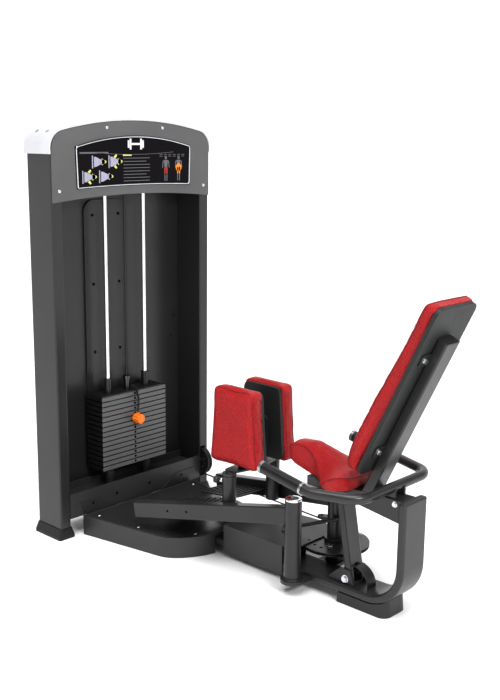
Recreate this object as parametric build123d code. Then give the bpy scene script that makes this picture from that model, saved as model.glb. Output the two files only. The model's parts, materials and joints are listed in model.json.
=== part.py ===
from build123d import *
import math
import os

# Inner and outer thigh machine with a weight stack.
# Units are millimetres, +Z is up, and X runs across the machine. The weight tower stands at +Y with its open
# front facing the seat at -Y. The origin is on the floor, at the middle of the footprint.

# ---------------------------------------------------------------- driving dimensions
TOWER_FRONT = 670.5                  # Y of the tower's open front
TOWER_DEPTH = 148.0
TOWER_HALF = 404.0                   # half of the tower's width
POST_WIDTH = 48.0
POST_TOP = 1500.0
POST_WALL = 3.0
SHEET = 3.0                          # folded sheet steel
STACK_Y = TOWER_FRONT + 71.0         # middle of the weight plates, the rods and the lifting cable
ROD_X = 100.0
ROD_R = 9.0
PLATE_WIDTH = 345.0
PLATE_DEPTH = 104.0
PLATE_PITCH = 20.9
PLATE_THICK = 20.2
PLATE_BOSS = 1.8                     # raised pad on both faces, which leaves a gap round the edge
PLATE_COUNT = 15                     # the top plate counts as one of them
PIN_PLATE = 5                        # how many plates below the top plate the pin sits
STACK_BOTTOM = 220.0
STACK_TOP = STACK_BOTTOM + PLATE_COUNT * PLATE_PITCH
STEM_R = 11.0
CABLE_R = 3.0

TOP_PULLEY_R = 47.0                  # radius at the middle of the cable
BASE_PULLEY_R = 58.0
PULLEY_RIM = 4.0                     # how far a pulley's rim stands outside the cable's middle
CABLE_TOP_Z = 1499.0
CABLE_X = 374.0                      # the cable runs down inside the right-hand post
BASE_PULLEY_Z = 147.0
CAM_R = 122.0

PIVOT_X = 120.0
PIVOT_Y = TOWER_FRONT - 955.0
PIVOT_LOW = 62.0
PIVOT_TOP = 344.0
SHAFT_R = 19.0
RUNNING_GAP = 0.05                   # radial clearance of a running fit
ARM_SPREAD = 8.7                     # degrees each arm stands outward at rest
ARM_DROP = 10.9                      # degrees each arm falls towards the feet
ARM_LENGTH = 708.0
ARM_WIDTH = 40.0
ARM_HEIGHT = 62.0
ARM_TOP_Z = 322.0                    # top of the arm tube over the pivot
POLE_X = 119.5
POLE_Y = TOWER_FRONT - 645.0
POLE_R = 26.0
POLE_LOW = 208.0
POLE_TOP = 358.0
POST_R = 16.0
CRANK_R = 52.0                       # from an arm's pivot to its end of the tie rod
CRANK_TURN = 67.5                    # degrees, so that the rod's length holds best over the swing
CRANK_LOW = 206.0

PAD_BOARD_IN = 43.0                  # X of the pad board's bare face
PAD_BOARD = 14.0
PAD_THICK = 57.0
PAD_MID_Y = TOWER_FRONT - 650.0
PAD_LOW = 389.0
PAD_HIGH = 686.0
PAD_HALF_LOW = 121.0                 # half of the pad's length at its lower and its upper edge
PAD_HALF_HIGH = 100.0

FRAME_HALF = 65.0                    # the floor tube is wide and flat
FRAME_LOW = 36.0
FRAME_THICK = 30.0
REAR_POST_Y = TOWER_FRONT - 1364.0   # middle of the rear post
REAR_POST_TOP = 420.0
FRAME_BEND = 135.0

BOX_HALF = 68.0
BOX_LOW = 17.0
BOX_HIGH = 109.0
GUARD_LOW = 126.6                    # underside of the sheet over the cam
COVER_TOP = 80.0

BEAM_HALF = 38.0
SEAT_BASE = 420.0                    # top of the seat pan
BACK_ANGLE = 64.3                    # degrees from level
BACK_Y = TOWER_FRONT - 1204.0        # bottom edge of the back board's front face
BACK_Z = 497.0
BACK_LENGTH = 655.0
BACK_HALF = 115.0
BACK_BOARD = 14.0

HANDLE_R = 17.5
HANDLE_X = 250.0
GRIP_R = 20.5

nodes = {}


# ---------------------------------------------------------------- helpers
def fore(distance):
    """Y of a place that far in front of the tower."""
    return TOWER_FRONT - distance


def block(x, y, z):
    """A box between two values on each axis."""
    size = [abs(pair[1] - pair[0]) for pair in (x, y, z)]
    middle = [(pair[0] + pair[1]) / 2 for pair in (x, y, z)]
    return Pos(*middle) * Box(*size)


def rod(start, end, radius):
    """A round bar between two points."""
    along = Vector(*end) - Vector(*start)
    plane = Plane(origin=start, z_dir=along)
    return extrude(plane * Circle(radius), along.length)


def pipe(start, end, outer, inner):
    """A round tube between two points."""
    return rod(start, end, outer) - rod(start, end, inner)


def flat_tube(start, end, across, deep, wall, corner, x_dir=(1, 0, 0)):
    """A hollow bar of rounded rectangular section between two points."""
    along = Vector(*end) - Vector(*start)
    plane = Plane(origin=start, x_dir=x_dir, z_dir=along)
    outside = RectangleRounded(across, deep, corner)
    inside = RectangleRounded(across - 2 * wall, deep - 2 * wall, max(corner - wall, 0.5))
    return extrude(plane * (outside - inside), along.length)


def raised(face, base, thick):
    """A plan outline made that thick, upward from a height."""
    return extrude(Pos(0, 0, base) * face, thick, dir=(0, 0, 1))


def side_profile(points, half_width):
    """A plate whose (Y, Z) outline is given, as wide as twice half_width about X = 0."""
    face = make_face(Polyline(*[(0, y, z) for y, z in points], close=True))
    return extrude(face, half_width, dir=(1, 0, 0), both=True)


def mirror_x(shape):
    return mirror(shape, Plane.YZ)


def both_sides(shape):
    """The shape and its mirror image as two separate solids."""
    return [shape, mirror_x(shape)]


def add(name, shapes):
    """Keep one node, made of one solid or several separate ones."""
    shapes = shapes if isinstance(shapes, list) else [shapes]
    solids = [solid for shape in shapes for solid in shape.solids()]
    nodes[name] = solids[0] if len(solids) == 1 else Compound(children=solids)


# ---------------------------------------------------------------- weight tower
def tower_post(side):
    """One side post: a deep rectangular tube."""
    middle_x = side * (TOWER_HALF - POST_WIDTH / 2)
    middle_y = TOWER_FRONT + TOWER_DEPTH / 2
    outside = RectangleRounded(POST_WIDTH, TOWER_DEPTH, 6)
    inside = RectangleRounded(POST_WIDTH - 2 * POST_WALL, TOWER_DEPTH - 2 * POST_WALL, 3)
    post = extrude(Pos(middle_x, middle_y, 14) * (outside - inside), POST_TOP - 14)
    post -= rod((side * 371, TOWER_FRONT - 2, 1364), (side * 371, TOWER_FRONT + 8, 1364), 3.2)
    if side > 0:
        # slots for the pulley at the foot and the pulley at the top
        low = BASE_PULLEY_Z - BASE_PULLEY_R - 10
        high = BASE_PULLEY_Z + BASE_PULLEY_R + 10
        post -= block((CABLE_X - 14, CABLE_X + 14), (TOWER_FRONT - 5, TOWER_FRONT + 8), (low, high))
        inner_wall = TOWER_HALF - POST_WIDTH
        slot_z = (CABLE_TOP_Z - 2 * TOP_PULLEY_R - 12, POST_TOP + 1)
        post -= block((inner_wall - 2, inner_wall + 8), (STACK_Y - 16, STACK_Y + 16), slot_z)
    return post


def foot_caps():
    """Flared plastic shoes that the two posts stand in."""
    middle = TOWER_HALF - POST_WIDTH / 2
    depth_mid = TOWER_FRONT + 75
    low = Pos(middle, depth_mid, 10) * RectangleRounded(76, 166, 8)
    high = Pos(middle, TOWER_FRONT + TOWER_DEPTH / 2, 42) * RectangleRounded(54, TOWER_DEPTH + 6, 7)
    foot = extrude(Pos(middle, depth_mid, 0) * RectangleRounded(76, 166, 8), 10) + loft([low, high])
    pocket = extrude(Pos(middle, TOWER_FRONT + TOWER_DEPTH / 2, 14)
                     * RectangleRounded(POST_WIDTH + 0.2, TOWER_DEPTH + 0.2, 6), 40)
    return both_sides(foot - pocket)


def arch_face(half, side_low, side_high, shoulder, crest):
    """Closed outline with straight sides, rounded shoulders and an arched top, in the XZ plane."""
    left = Line((-half, side_low), (-half, side_high))
    top = ThreePointArc((-half + 52, shoulder), (0, crest), (half - 52, shoulder))
    right = Line((half, side_high), (half, side_low))
    bend = math.radians(38)
    knee = (-half + 52 - 44 * math.sin(bend), shoulder - 44 * (1 - math.cos(bend)) - 2)
    left_arc = ThreePointArc((-half, side_high), (knee[0] - 4, knee[1] - 6), (-half + 52, shoulder))
    right_arc = ThreePointArc((half - 52, shoulder), (4 - knee[0], knee[1] - 6), (half, side_high))
    base = Line((half, side_low), (-half, side_low))
    return make_face([left, left_arc, top, right_arc, right, base])


def standing(face_xy, y_back, thick):
    """Stand an XZ outline up and make it that thick towards -Y from y_back."""
    upright = Plane(origin=(0, y_back, 0), x_dir=(1, 0, 0), z_dir=(0, -1, 0))
    return extrude(upright * face_xy, thick, dir=(0, -1, 0))


def top_cap():
    """Moulded cap over both posts, open towards the front and below."""
    depth = TOWER_DEPTH + 10
    outside = standing(arch_face(TOWER_HALF + 8, POST_TOP, 1524, 1592, 1632),
                       TOWER_FRONT + TOWER_DEPTH + 6, depth)
    inside = standing(arch_face(TOWER_HALF + 1.5, POST_TOP - 1, 1522, 1586, 1625),
                      TOWER_FRONT + TOWER_DEPTH + 1, depth)
    return outside - inside


def panel_outline():
    """Head panel outline, with the arch over the weight bay."""
    whole = arch_face(TOWER_HALF - 2, 1322, 1520, 1585, 1623.5)
    arch = ThreePointArc((-(TOWER_HALF - 2), 1321), (0, 1343), (TOWER_HALF - 2, 1321))
    below = make_face([arch, Line((TOWER_HALF - 2, 1321), (-(TOWER_HALF - 2), 1321))])
    return whole - below


def head_panel():
    panel = standing(panel_outline(), TOWER_FRONT - 0.5, 4)
    for x, z in panel_screw_places():
        panel -= rod((x, TOWER_FRONT + 1, z), (x, TOWER_FRONT - 6, z), 3.2)
    return panel


def panel_screw_places():
    return [(-371, 1364), (371, 1364), (-142, 1597.5), (142, 1597.5)]


def placard():
    """Arched instruction plate."""
    top = ThreePointArc((-296, 1527), (0, 1567), (296, 1527))
    foot = ThreePointArc((291, 1369), (0, 1376), (-291, 1369))
    sides = [Line((296, 1527), (291, 1369)), Line((-291, 1369), (-296, 1527))]
    outline = make_face([top, sides[0], foot, sides[1]])
    return standing(outline, TOWER_FRONT - 4.6, 2)


def button_screw(place, axis, head_r, head_h, shank_r, shank):
    """Domed screw head with its shank, head outward along axis."""
    plane = Plane(origin=place, z_dir=axis)
    head = extrude(plane * Circle(head_r), head_h)
    socket = extrude(plane.offset(head_h) * RegularPolygon(head_r * 0.45, 6), -head_h * 0.6)
    head = fillet(head.edges().group_by(SortBy.LENGTH)[-1].sort_by(Axis((0, 0, 0), axis))[-1], head_h * 0.6)
    return head - socket + extrude(plane * Circle(shank_r), -shank)


RAISED_X = -47.0                     # middle of the raised plate on the back wall
RAISED_HALF = 108.0


def raised_bolt_places():
    outer = [(RAISED_X + side * 66, z) for side in (-1, 1) for z in (1255, 977, 697)]
    return outer + [(RAISED_X, z) for z in (1069, 837, 605)]


def small_screws():
    """The four head panel screws and the screws of the raised back plate."""
    screws = [button_screw((x, TOWER_FRONT - 4.6, z), (0, -1, 0), 6.5, 3.0, 2.9, 9)
              for x, z in panel_screw_places()]
    face = TOWER_FRONT + TOWER_DEPTH - 16
    screws += [button_screw((x, face, z), (0, -1, 0), 6.0, 3.0, 2.9, 7) for x, z in raised_bolt_places()]
    return screws


def rear_panel():
    """Folded sheet that closes the back of the weight bay."""
    half = TOWER_HALF - POST_WIDTH - 0.5
    back = TOWER_FRONT + TOWER_DEPTH - 8
    return block((-half, half), (back, back + SHEET), (82, 1498))


def raised_plate():
    """Rounded plate screwed to the inside of the back panel."""
    back = TOWER_FRONT + TOWER_DEPTH - 8.2
    outline = Pos(RAISED_X, 751) * RectangleRounded(2 * RAISED_HALF, 1130, 50)
    plate = standing(outline, back, 7.6)
    for x, z in raised_bolt_places():
        plate -= rod((x, back + 3, z), (x, back - 12, z), 3.2)
    return plate


def top_cross_member():
    """Folded channel between the posts that holds the guide rods and the top pulleys."""
    half = TOWER_HALF - POST_WIDTH - 0.3
    depth = (TOWER_FRONT + 12, TOWER_FRONT + 129)
    member = block((-half, half), depth, (1362, 1368))
    for edge in depth:
        inward = 6 if edge == depth[0] else -6
        member += block((-half, half), (edge, edge + inward), (1330 if inward < 0 else 1346, 1368))
    for x in (-ROD_X, ROD_X):
        member -= rod((x, STACK_Y, 1355), (x, STACK_Y, 1364), ROD_R + 0.1)
    return member - rod((0, STACK_Y, 1300), (0, STACK_Y, 1400), 12)


def base_channel():
    """Folded channel across the foot of the tower, which carries the stack's buffers."""
    half = TOWER_HALF - POST_WIDTH - 0.3
    front = (TOWER_FRONT + 2, TOWER_FRONT + 7)
    back = (TOWER_FRONT + 124, TOWER_FRONT + 129)
    channel = block((-half, half), front, (73, 174)) + block((-half, half), back, (73, 174))
    channel += block((-half, half), (front[0], back[1]), (138, 144))
    channel += block((-75, 75), front, (FRAME_LOW - 2, 82))
    for x, z in ((-244, 112), (-118, 122), (60, 122), (244, 112)):
        channel -= rod((x, front[0] - 2, z), (x, front[1] + 2, z), 5.5)
    for x in (-ROD_X, ROD_X):
        channel -= rod((x, STACK_Y, 141), (x, STACK_Y, 150), ROD_R + 0.1)
    return channel


def guide_rods():
    return [rod((x, STACK_Y, 141.2), (x, STACK_Y, 1363.8), ROD_R) for x in (-ROD_X, ROD_X)]


def buffers():
    """Ribbed rubber buffers round the guide rods."""
    shapes = []
    for x in (-ROD_X, ROD_X):
        low = 144.3
        body = pipe((x, STACK_Y, low), (x, STACK_Y, STACK_BOTTOM - 0.6), 19, ROD_R + 0.4)
        for step in range(3):
            z = low + 16 + 20 * step
            body -= pipe((x, STACK_Y, z), (x, STACK_Y, z + 6), 21, 17)
        shapes.append(body)
    return shapes


# ---------------------------------------------------------------- weight stack
def plate_mid(number):
    """Height of the middle of a plate, counted down from the top plate, which is number 0."""
    return STACK_TOP - PLATE_PITCH * (number + 0.5)


def plate_blank(z):
    """A plate with a slightly smaller pad raised on both faces, so that stacked plates show a gap."""
    slab = PLATE_THICK - 2 * PLATE_BOSS
    outline = RectangleRounded(PLATE_WIDTH, PLATE_DEPTH, 4)
    pad = RectangleRounded(PLATE_WIDTH - 16, PLATE_DEPTH - 16, 4)
    plate = extrude(Pos(0, STACK_Y, z - slab / 2) * outline, slab)
    return plate + extrude(Pos(0, STACK_Y, z - PLATE_THICK / 2) * pad, PLATE_THICK)


def weight_plate(number):
    z = plate_mid(number)
    plate = plate_blank(z)
    low = z - PLATE_THICK
    high = z + PLATE_THICK
    for x in (-ROD_X, ROD_X):
        plate -= rod((x, STACK_Y, low), (x, STACK_Y, high), ROD_R + 2)
    plate -= rod((0, STACK_Y, low), (0, STACK_Y, high), STEM_R + 2)
    front = STACK_Y - PLATE_DEPTH / 2
    return plate - rod((0, front - 1, z), (0, STACK_Y, z), 5.4)


def top_plate():
    """The lifting plate, with seats for the two bushings and the stem."""
    z = plate_mid(0)
    plate = plate_blank(z)
    low = z - PLATE_THICK
    high = z + PLATE_THICK
    for x in (-ROD_X, ROD_X):
        plate -= rod((x, STACK_Y, low), (x, STACK_Y, high), 15.5)
    plate -= rod((0, STACK_Y, low), (0, STACK_Y, high), STEM_R)
    front = STACK_Y - PLATE_DEPTH / 2
    return plate - rod((0, front - 1, z), (0, STACK_Y, z), 5.4)


def guide_bushings():
    low = plate_mid(0) - PLATE_THICK / 2
    high = STACK_TOP + 60
    return [pipe((x, STACK_Y, low), (x, STACK_Y, high), 15.5, ROD_R + RUNNING_GAP) for x in (-ROD_X, ROD_X)]


def selector_stem():
    """Drilled bar that the pin locks into; the lifting cable enters its top."""
    low = STACK_BOTTOM + 6
    high = STACK_TOP + 50
    stem = rod((0, STACK_Y, low), (0, STACK_Y, high), STEM_R)
    stem += rod((0, STACK_Y, high - 8), (0, STACK_Y, high + 6), STEM_R + 4)
    stem -= rod((0, STACK_Y, high - 150), (0, STACK_Y, high + 8), CABLE_R + 0.6)
    for number in range(PLATE_COUNT):
        z = plate_mid(number)
        stem -= rod((0, STACK_Y - 20, z), (0, STACK_Y + 20, z), 4.9)
    return stem


PIN_Z = plate_mid(PIN_PLATE)
KNOB_BACK = STACK_Y - PLATE_DEPTH / 2 - 4.0


def selector_pin():
    return rod((0, KNOB_BACK - 20, PIN_Z), (0, STACK_Y + 12, PIN_Z), 4.8)


def selector_knob():
    """Waisted knob with eight finger flutes and an eyelet for the lanyard."""
    back = KNOB_BACK
    front = KNOB_BACK - 36
    knob = rod((0, back, PIN_Z), (0, front, PIN_Z), 21)
    knob = fillet(knob.edges(), 4)
    for step in range(8):
        turn = math.radians(45 * step + 22.5)
        x = 27 * math.cos(turn)
        z = PIN_Z + 27 * math.sin(turn)
        knob -= rod((x, back + 1, z), (x, front - 1, z), 8.5)
    knob += rod((0, back - 14, PIN_Z + 14), (0, back - 14, PIN_Z + 25), 5.5)
    return knob - rod((0, back + 1, PIN_Z), (0, back - 20, PIN_Z), 4.8)


LANYARD_R = 4.5
LANYARD_TOP = STACK_TOP + 1.0


def lanyard_route():
    """Curly cord from the eye on the knob up and over to the top plate."""
    knob_y = KNOB_BACK - 14
    plate_front = STACK_Y - PLATE_DEPTH / 2
    return [(0, knob_y, PIN_Z + 25), (0, knob_y, PIN_Z + 52), (2, knob_y - 3, PIN_Z + 82),
            (2, plate_front - 14, LANYARD_TOP - 10), (1, plate_front - 2, LANYARD_TOP + 19),
            (0, plate_front + 20, LANYARD_TOP + 19), (0, plate_front + 20, LANYARD_TOP - 0.6)]


def cord_tube(route, radius):
    """Straight runs joined by tangent arcs, and the arc radii, as large as the runs allow."""
    points = [Vector(*point) for point in route]
    radii = []
    for before, here, after in zip(points, points[1:], points[2:]):
        turn = math.radians((here - before).get_angle(after - here))
        shorter = min((here - before).length, (after - here).length)
        radii.append(0.45 * shorter / math.tan(turn / 2))
    path = FilletPolyline(*points, radius=radii)
    start = Plane(origin=path @ 0, z_dir=path % 0)
    return sweep(start * Circle(radius), path=path), radii, path.length


def lanyard():
    tube, radii, length = cord_tube(lanyard_route(), LANYARD_R)
    print("lanyard length %.1f, radii %s" % (length, [round(value, 1) for value in radii]))
    print("lanyard volume ratio %.4f" % (tube.volume / (math.pi * LANYARD_R ** 2 * length)))
    return tube


# ---------------------------------------------------------------- pulleys and lifting cable
def pulley(middle, axis, cable_radius, width, bore):
    """Grooved wheel with a web, five lightening holes and a bore."""
    rim = cable_radius + PULLEY_RIM
    base = cable_radius - CABLE_R - 0.4
    half = width / 2
    profile = Polyline((bore, -half), (bore + 9, -half), (bore + 9, -half * 0.55), (rim - 14, -half * 0.55),
                       (rim - 11, -half), (rim, -half), (rim, -half + 2), (base, -3.2), (base, 3.2),
                       (rim, half - 2), (rim, half), (rim - 11, half), (rim - 14, half * 0.55),
                       (bore + 9, half * 0.55), (bore + 9, half), (bore, half), close=True)
    face = make_face(Plane.XZ * profile)
    wheel = revolve(face, Axis.Z)
    for step in range(5):
        turn = math.radians(72 * step)
        ring = (rim - 14 + bore + 9) / 2
        wheel -= Pos(ring * math.cos(turn), ring * math.sin(turn), 0) * Cylinder(5.5, width)
    return Plane(origin=middle, z_dir=axis) * wheel


def top_pulley_place(outer):
    x = CABLE_X - TOP_PULLEY_R if outer else TOP_PULLEY_R
    return (x, STACK_Y, CABLE_TOP_Z - TOP_PULLEY_R)


def base_pulley_place():
    return (CABLE_X, STACK_Y - BASE_PULLEY_R, BASE_PULLEY_Z)


def pulley_brackets():
    """Two upright plates for each top pulley."""
    plates = []
    for outer in (False, True):
        x, y, z = top_pulley_place(outer)
        reach = 18
        for side in (-1, 1):
            inner_y = y + side * 13.5
            outline = block((x - reach, x + reach), (inner_y, inner_y + side * 5), (1368.3, z + 18))
            edge = outline.edges().filter_by(Axis.Y).group_by(Axis.Z)[-1]
            outline = fillet(edge, 12)
            plates.append(outline - rod((x, y - 40, z), (x, y + 40, z), 8.05))
    return plates


def pulley_axles():
    """Plain axles: two in the brackets and one across the right-hand post."""
    axles = []
    for outer in (False, True):
        x, y, z = top_pulley_place(outer)
        axles.append(rod((x, y - 23, z), (x, y + 23, z), 8))
    x, y, z = base_pulley_place()
    inner = TOWER_HALF - POST_WIDTH + POST_WALL + 1
    axles.append(rod((inner, y, z), (TOWER_HALF - POST_WALL - 1, y, z), 8))
    return axles


def cam_tangent():
    """Where the cable meets the cam, and the direction it comes from, in plan."""
    leave = Vector(CABLE_X, fore(-5), 0)
    centre = Vector(PIVOT_X, PIVOT_Y, 0)
    across = centre - leave
    heading = math.atan2(across.Y, across.X) + math.asin(CAM_R / across.length)
    reach = math.sqrt(across.length ** 2 - CAM_R ** 2)
    direction = Vector(math.cos(heading), math.sin(heading), 0)
    return leave + direction * reach, direction


CAM_Z = 118.0
CAM_WRAP = 62.0                      # degrees of cable on the cam


def main_cable():
    """Steel cable from the stem over the top pulleys, down the post and out to the cam."""
    touch, direction = cam_tangent()
    centre = Vector(PIVOT_X, PIVOT_Y, 0)
    half = math.radians(CAM_WRAP / 2)
    corner = touch + direction * (CAM_R * math.tan(half))
    spoke = touch - centre
    end_angle = math.atan2(spoke.Y, spoke.X) - math.radians(CAM_WRAP)
    end = centre + Vector(math.cos(end_angle), math.sin(end_angle), 0) * CAM_R
    level = touch - direction * 95
    bottom = BASE_PULLEY_Z - BASE_PULLEY_R
    points = [(0, STACK_Y, STACK_TOP + 44), (0, STACK_Y, CABLE_TOP_Z), (CABLE_X, STACK_Y, CABLE_TOP_Z),
              (CABLE_X, STACK_Y, bottom), (CABLE_X, fore(-5), bottom), (level.X, level.Y, CAM_Z),
              (corner.X, corner.Y, CAM_Z), (end.X, end.Y, CAM_Z)]
    path = FilletPolyline(*points, radius=[TOP_PULLEY_R, TOP_PULLEY_R, BASE_PULLEY_R, 60, 200, CAM_R - 0.01])
    start = Plane(origin=path @ 0, z_dir=path % 0)
    tube = sweep(start * Circle(CABLE_R), path=path)
    print("main cable length %.0f, volume ratio %.4f"
          % (path.length, tube.volume / (math.pi * CABLE_R ** 2 * path.length)))
    return tube


# ---------------------------------------------------------------- floor frame and covers
def main_frame():
    """Wide flat tube along the floor that bends up into the rear post."""
    front_y = TOWER_FRONT + 1.6
    middle_z = FRAME_LOW + FRAME_THICK / 2
    path = FilletPolyline((0, front_y, middle_z), (0, REAR_POST_Y, middle_z),
                          (0, REAR_POST_Y, REAR_POST_TOP - 6), radius=FRAME_BEND)
    start = Plane(origin=(0, front_y, middle_z), x_dir=(1, 0, 0), z_dir=(0, -1, 0))
    outside = RectangleRounded(2 * FRAME_HALF, FRAME_THICK, 11)
    inside = RectangleRounded(2 * FRAME_HALF - 8, FRAME_THICK - 8, 7)
    return sweep(start * (outside - inside), path=path)


def rear_foot():
    """Tapered plastic shoe under the bend of the floor tube."""
    middle = Pos(0, (fore(1112) + fore(1318)) / 2, 0)
    low = middle * Rectangle(130, 206)
    low = fillet(low.vertices().group_by(Axis.Y)[0], 34)
    body = extrude(low, 60, taper=4)
    under = block((-90, 90), (fore(1090), REAR_POST_Y + FRAME_BEND), (FRAME_LOW - 0.2, 90))
    bend = Pos(0, REAR_POST_Y + FRAME_BEND, FRAME_LOW + FRAME_THICK / 2 + FRAME_BEND)
    inside = bend * Rot(0, 90, 0) * Cylinder(FRAME_BEND + FRAME_THICK / 2 + 0.2, 300)
    return body - under - inside


def end_caps():
    """Plastic caps on the rear post, on the back support tube and in the front of the seat beam."""
    post = extrude(Pos(0, REAR_POST_Y, REAR_POST_TOP - 6) * RectangleRounded(2 * FRAME_HALF, FRAME_THICK, 11), 6)
    post = fillet(post.edges().group_by(Axis.Z)[-1], 4)
    plane = back_plane(SUPPORT_TOP, SUPPORT_MID)
    tube = extrude(plane * RectangleRounded(2 * BEAM_HALF, SUPPORT_DEEP, 6), 6)
    beam = block((-BEAM_HALF, BEAM_HALF), (fore(949.7), fore(946)), (380, 412))
    return [post, tube, beam]


def cover_outline(inset):
    """Plan of the base cover: straight flanks that close in, and a rounded front."""
    near = fore(13)
    half_back = 305 - inset
    half_mid = 240 - inset
    bend = fore(385)
    tip = fore(528 - inset)
    back = Line((half_back, near - inset), (-half_back, near - inset))
    left = Line((-half_back, near - inset), (-half_mid, bend))
    round_left = Spline((-half_mid, bend), (-half_mid + 62, bend - 88), (0, tip),
                        tangents=[(0.18, -1), (1, 0)])
    round_right = Spline((0, tip), (half_mid - 62, bend - 88), (half_mid, bend),
                         tangents=[(1, 0), (0.18, 1)])
    right = Line((half_mid, bend), (half_back, near - inset))
    return make_face([back, left, round_left, round_right, right])


def base_cover():
    """Low moulded cover in front of the tower, hollow below, with a raised lip."""
    shell = raised(cover_outline(0), 0, COVER_TOP) - raised(cover_outline(4), -1, COVER_TOP - 11)
    shell -= raised(cover_outline(15), COVER_TOP - 5, 10)
    passage = block((-FRAME_HALF - 3, FRAME_HALF + 3), (fore(620), fore(-10)), (-1, FRAME_LOW + FRAME_THICK + 0.8))
    return shell - passage + cover_tab(1) + cover_tab(-1)


def cover_tab(side):
    """Upright ear at the rear of the cover that lies against the base channel."""
    outline = make_face(Polyline((side * 273, 70), (side * 312, 131), (side * 212, 128), (side * 114, 70),
                                 close=True))
    ear = standing(outline, TOWER_FRONT + 1.8, 3)
    ear -= rod((side * 244, TOWER_FRONT - 3, 112), (side * 244, TOWER_FRONT + 3, 112), 5.5)
    ledge = block((side * 265, side * 122), (fore(18), TOWER_FRONT + 1.8), (70, 74))
    return ear + ledge


def cover_plate():
    """Glossy tread plate let into the top of the base cover."""
    return raised(cover_outline(16), COVER_TOP - 4.8, 3)


def centre_box():
    """Folded cover over the floor tube, with a sheet that reaches over the cam on the right."""
    near = fore(566)
    far = fore(862)
    box = block((-BOX_HALF, BOX_HALF), (far, near), (BOX_LOW, BOX_HIGH))
    box = fillet(box.edges().filter_by(Axis.Y).group_by(Axis.Z)[-1], 4)
    box -= block((-BOX_HALF + SHEET, BOX_HALF - SHEET), (far - 1, near - SHEET), (BOX_LOW - 1, BOX_HIGH - SHEET))
    passage = block((-FRAME_HALF - 0.6, FRAME_HALF + 0.6), (near - 5, near + 5),
                    (FRAME_LOW - 0.4, FRAME_LOW + FRAME_THICK + 0.4))
    top = GUARD_LOW + SHEET
    walls = block((-BOX_HALF, -BOX_HALF + SHEET), (far, near), (BOX_HIGH - 8, top))
    walls += block((-BOX_HALF, BOX_HALF), (near - SHEET, near), (BOX_HIGH - 8, top))
    outline = Polyline((-BOX_HALF, near), (BOX_HALF, near), (150, fore(625)), (215, fore(710)), (228, fore(820)),
                       (186, fore(884)), (118, fore(908)), (-20, fore(908)), (-BOX_HALF, far), close=True)
    sheet = raised(make_face(outline), GUARD_LOW, SHEET)
    return box - passage + walls + sheet - rod((46, fore(893), top + 1), (46, fore(893), GUARD_LOW - 1), 5)


def pivot_carrier():
    """Ear on each side of the floor tube with the fixed shaft that an arm turns on."""
    top = FRAME_LOW + 18
    outline = block((FRAME_HALF + 0.1, PIVOT_X), (PIVOT_Y - 42, PIVOT_Y + 42), (top - 12, top))
    outline += rod((PIVOT_X, PIVOT_Y, top - 12), (PIVOT_X, PIVOT_Y, top), 42)
    outline += rod((PIVOT_X, PIVOT_Y, top), (PIVOT_X, PIVOT_Y, PIVOT_LOW - 0.5), 33)
    outline += rod((PIVOT_X, PIVOT_Y, top), (PIVOT_X, PIVOT_Y, PIVOT_TOP + 2), SHAFT_R)
    outline -= rod((PIVOT_X, PIVOT_Y, PIVOT_TOP - 20), (PIVOT_X, PIVOT_Y, PIVOT_TOP + 4), 5)
    return both_sides(outline)


def pivot_rings():
    """Bright retaining ring on top of each shaft."""
    low = PIVOT_TOP + 0.5
    ring = pipe((PIVOT_X, PIVOT_Y, low), (PIVOT_X, PIVOT_Y, low + 7), 30, SHAFT_R + 0.05)
    ring = fillet(ring.edges().group_by(Axis.Z)[-1].group_by(SortBy.RADIUS)[-1], 2.5)
    return both_sides(ring)


def column_ends():
    return (0, fore(1147.4), 40), (0, fore(1081), 396)


def seat_column():
    """Leaning flat tube from the floor tube to the seat beam, notched at its rear foot."""
    low, high = column_ends()
    column = flat_tube(low, high, 2 * BEAM_HALF, 28, 3, 9)
    column &= block((-60, 60), (fore(1300), fore(900)), (FRAME_LOW + FRAME_THICK + 0.2, 420))
    column -= side_profile(beam_points(), BEAM_HALF + 2)
    notch_z = 112
    column -= block((-22, 22), (fore(1175), fore(1136)), (40, notch_z))
    column -= rod((0, fore(1175), notch_z), (0, fore(1136), notch_z), 22)
    return column - rod((-60, fore(1132), 84), (60, fore(1132), 84), 7.2)


def column_bracket():
    """Side plates welded round the foot of the column, and the curved guard behind it."""
    top = FRAME_LOW + FRAME_THICK + 0.2
    outline = Polyline((fore(1060), top), (fore(1060), top + 10), (fore(1108), top + 52), (fore(1150), top + 52),
                       (fore(1168), top), close=True)
    points = [(vertex.X, vertex.Y) for vertex in outline.vertices()]
    plate = side_profile(points, 3)
    plates = [Pos(side * (BEAM_HALF + 3.4), 0, 0) * plate for side in (-1, 1)]
    hole = rod((-60, fore(1132), 84), (60, fore(1132), 84), 7.2)
    plates = [shape - hole for shape in plates]
    reach = 64
    ring = Pos(0, fore(1150), top) * Rot(0, 90, 0) * (Cylinder(reach, 44) - Cylinder(reach - 5, 46))
    guard = ring & block((-30, 30), (fore(1150 + reach + 2), fore(1151)), (top, top + reach + 2))
    return plates + [guard]


def beam_points():
    return [(fore(1348.6), 339), (fore(1120), 371), (fore(950), 380)] + beam_top(0)


def beam_top(lift):
    """Upper edge of the seat beam, front to rear, raised by lift."""
    return [(fore(950), 411.8 + lift), (fore(1165), 411.8 + lift), (fore(1200), 417.8 + lift),
            (fore(1348.6), 417.8 + lift)]


def seat_beam():
    """Tapered box beam from the rear post forward under the seat."""
    outside = side_profile(beam_points(), BEAM_HALF)
    inside = side_profile([(fore(1352), 344), (fore(1120), 375.5), (fore(946), 384.5), (fore(946), 407.5),
                           (fore(1166), 407.5), (fore(1202), 413.5), (fore(1352), 413.5)], BEAM_HALF - 4)
    return outside - inside


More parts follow.
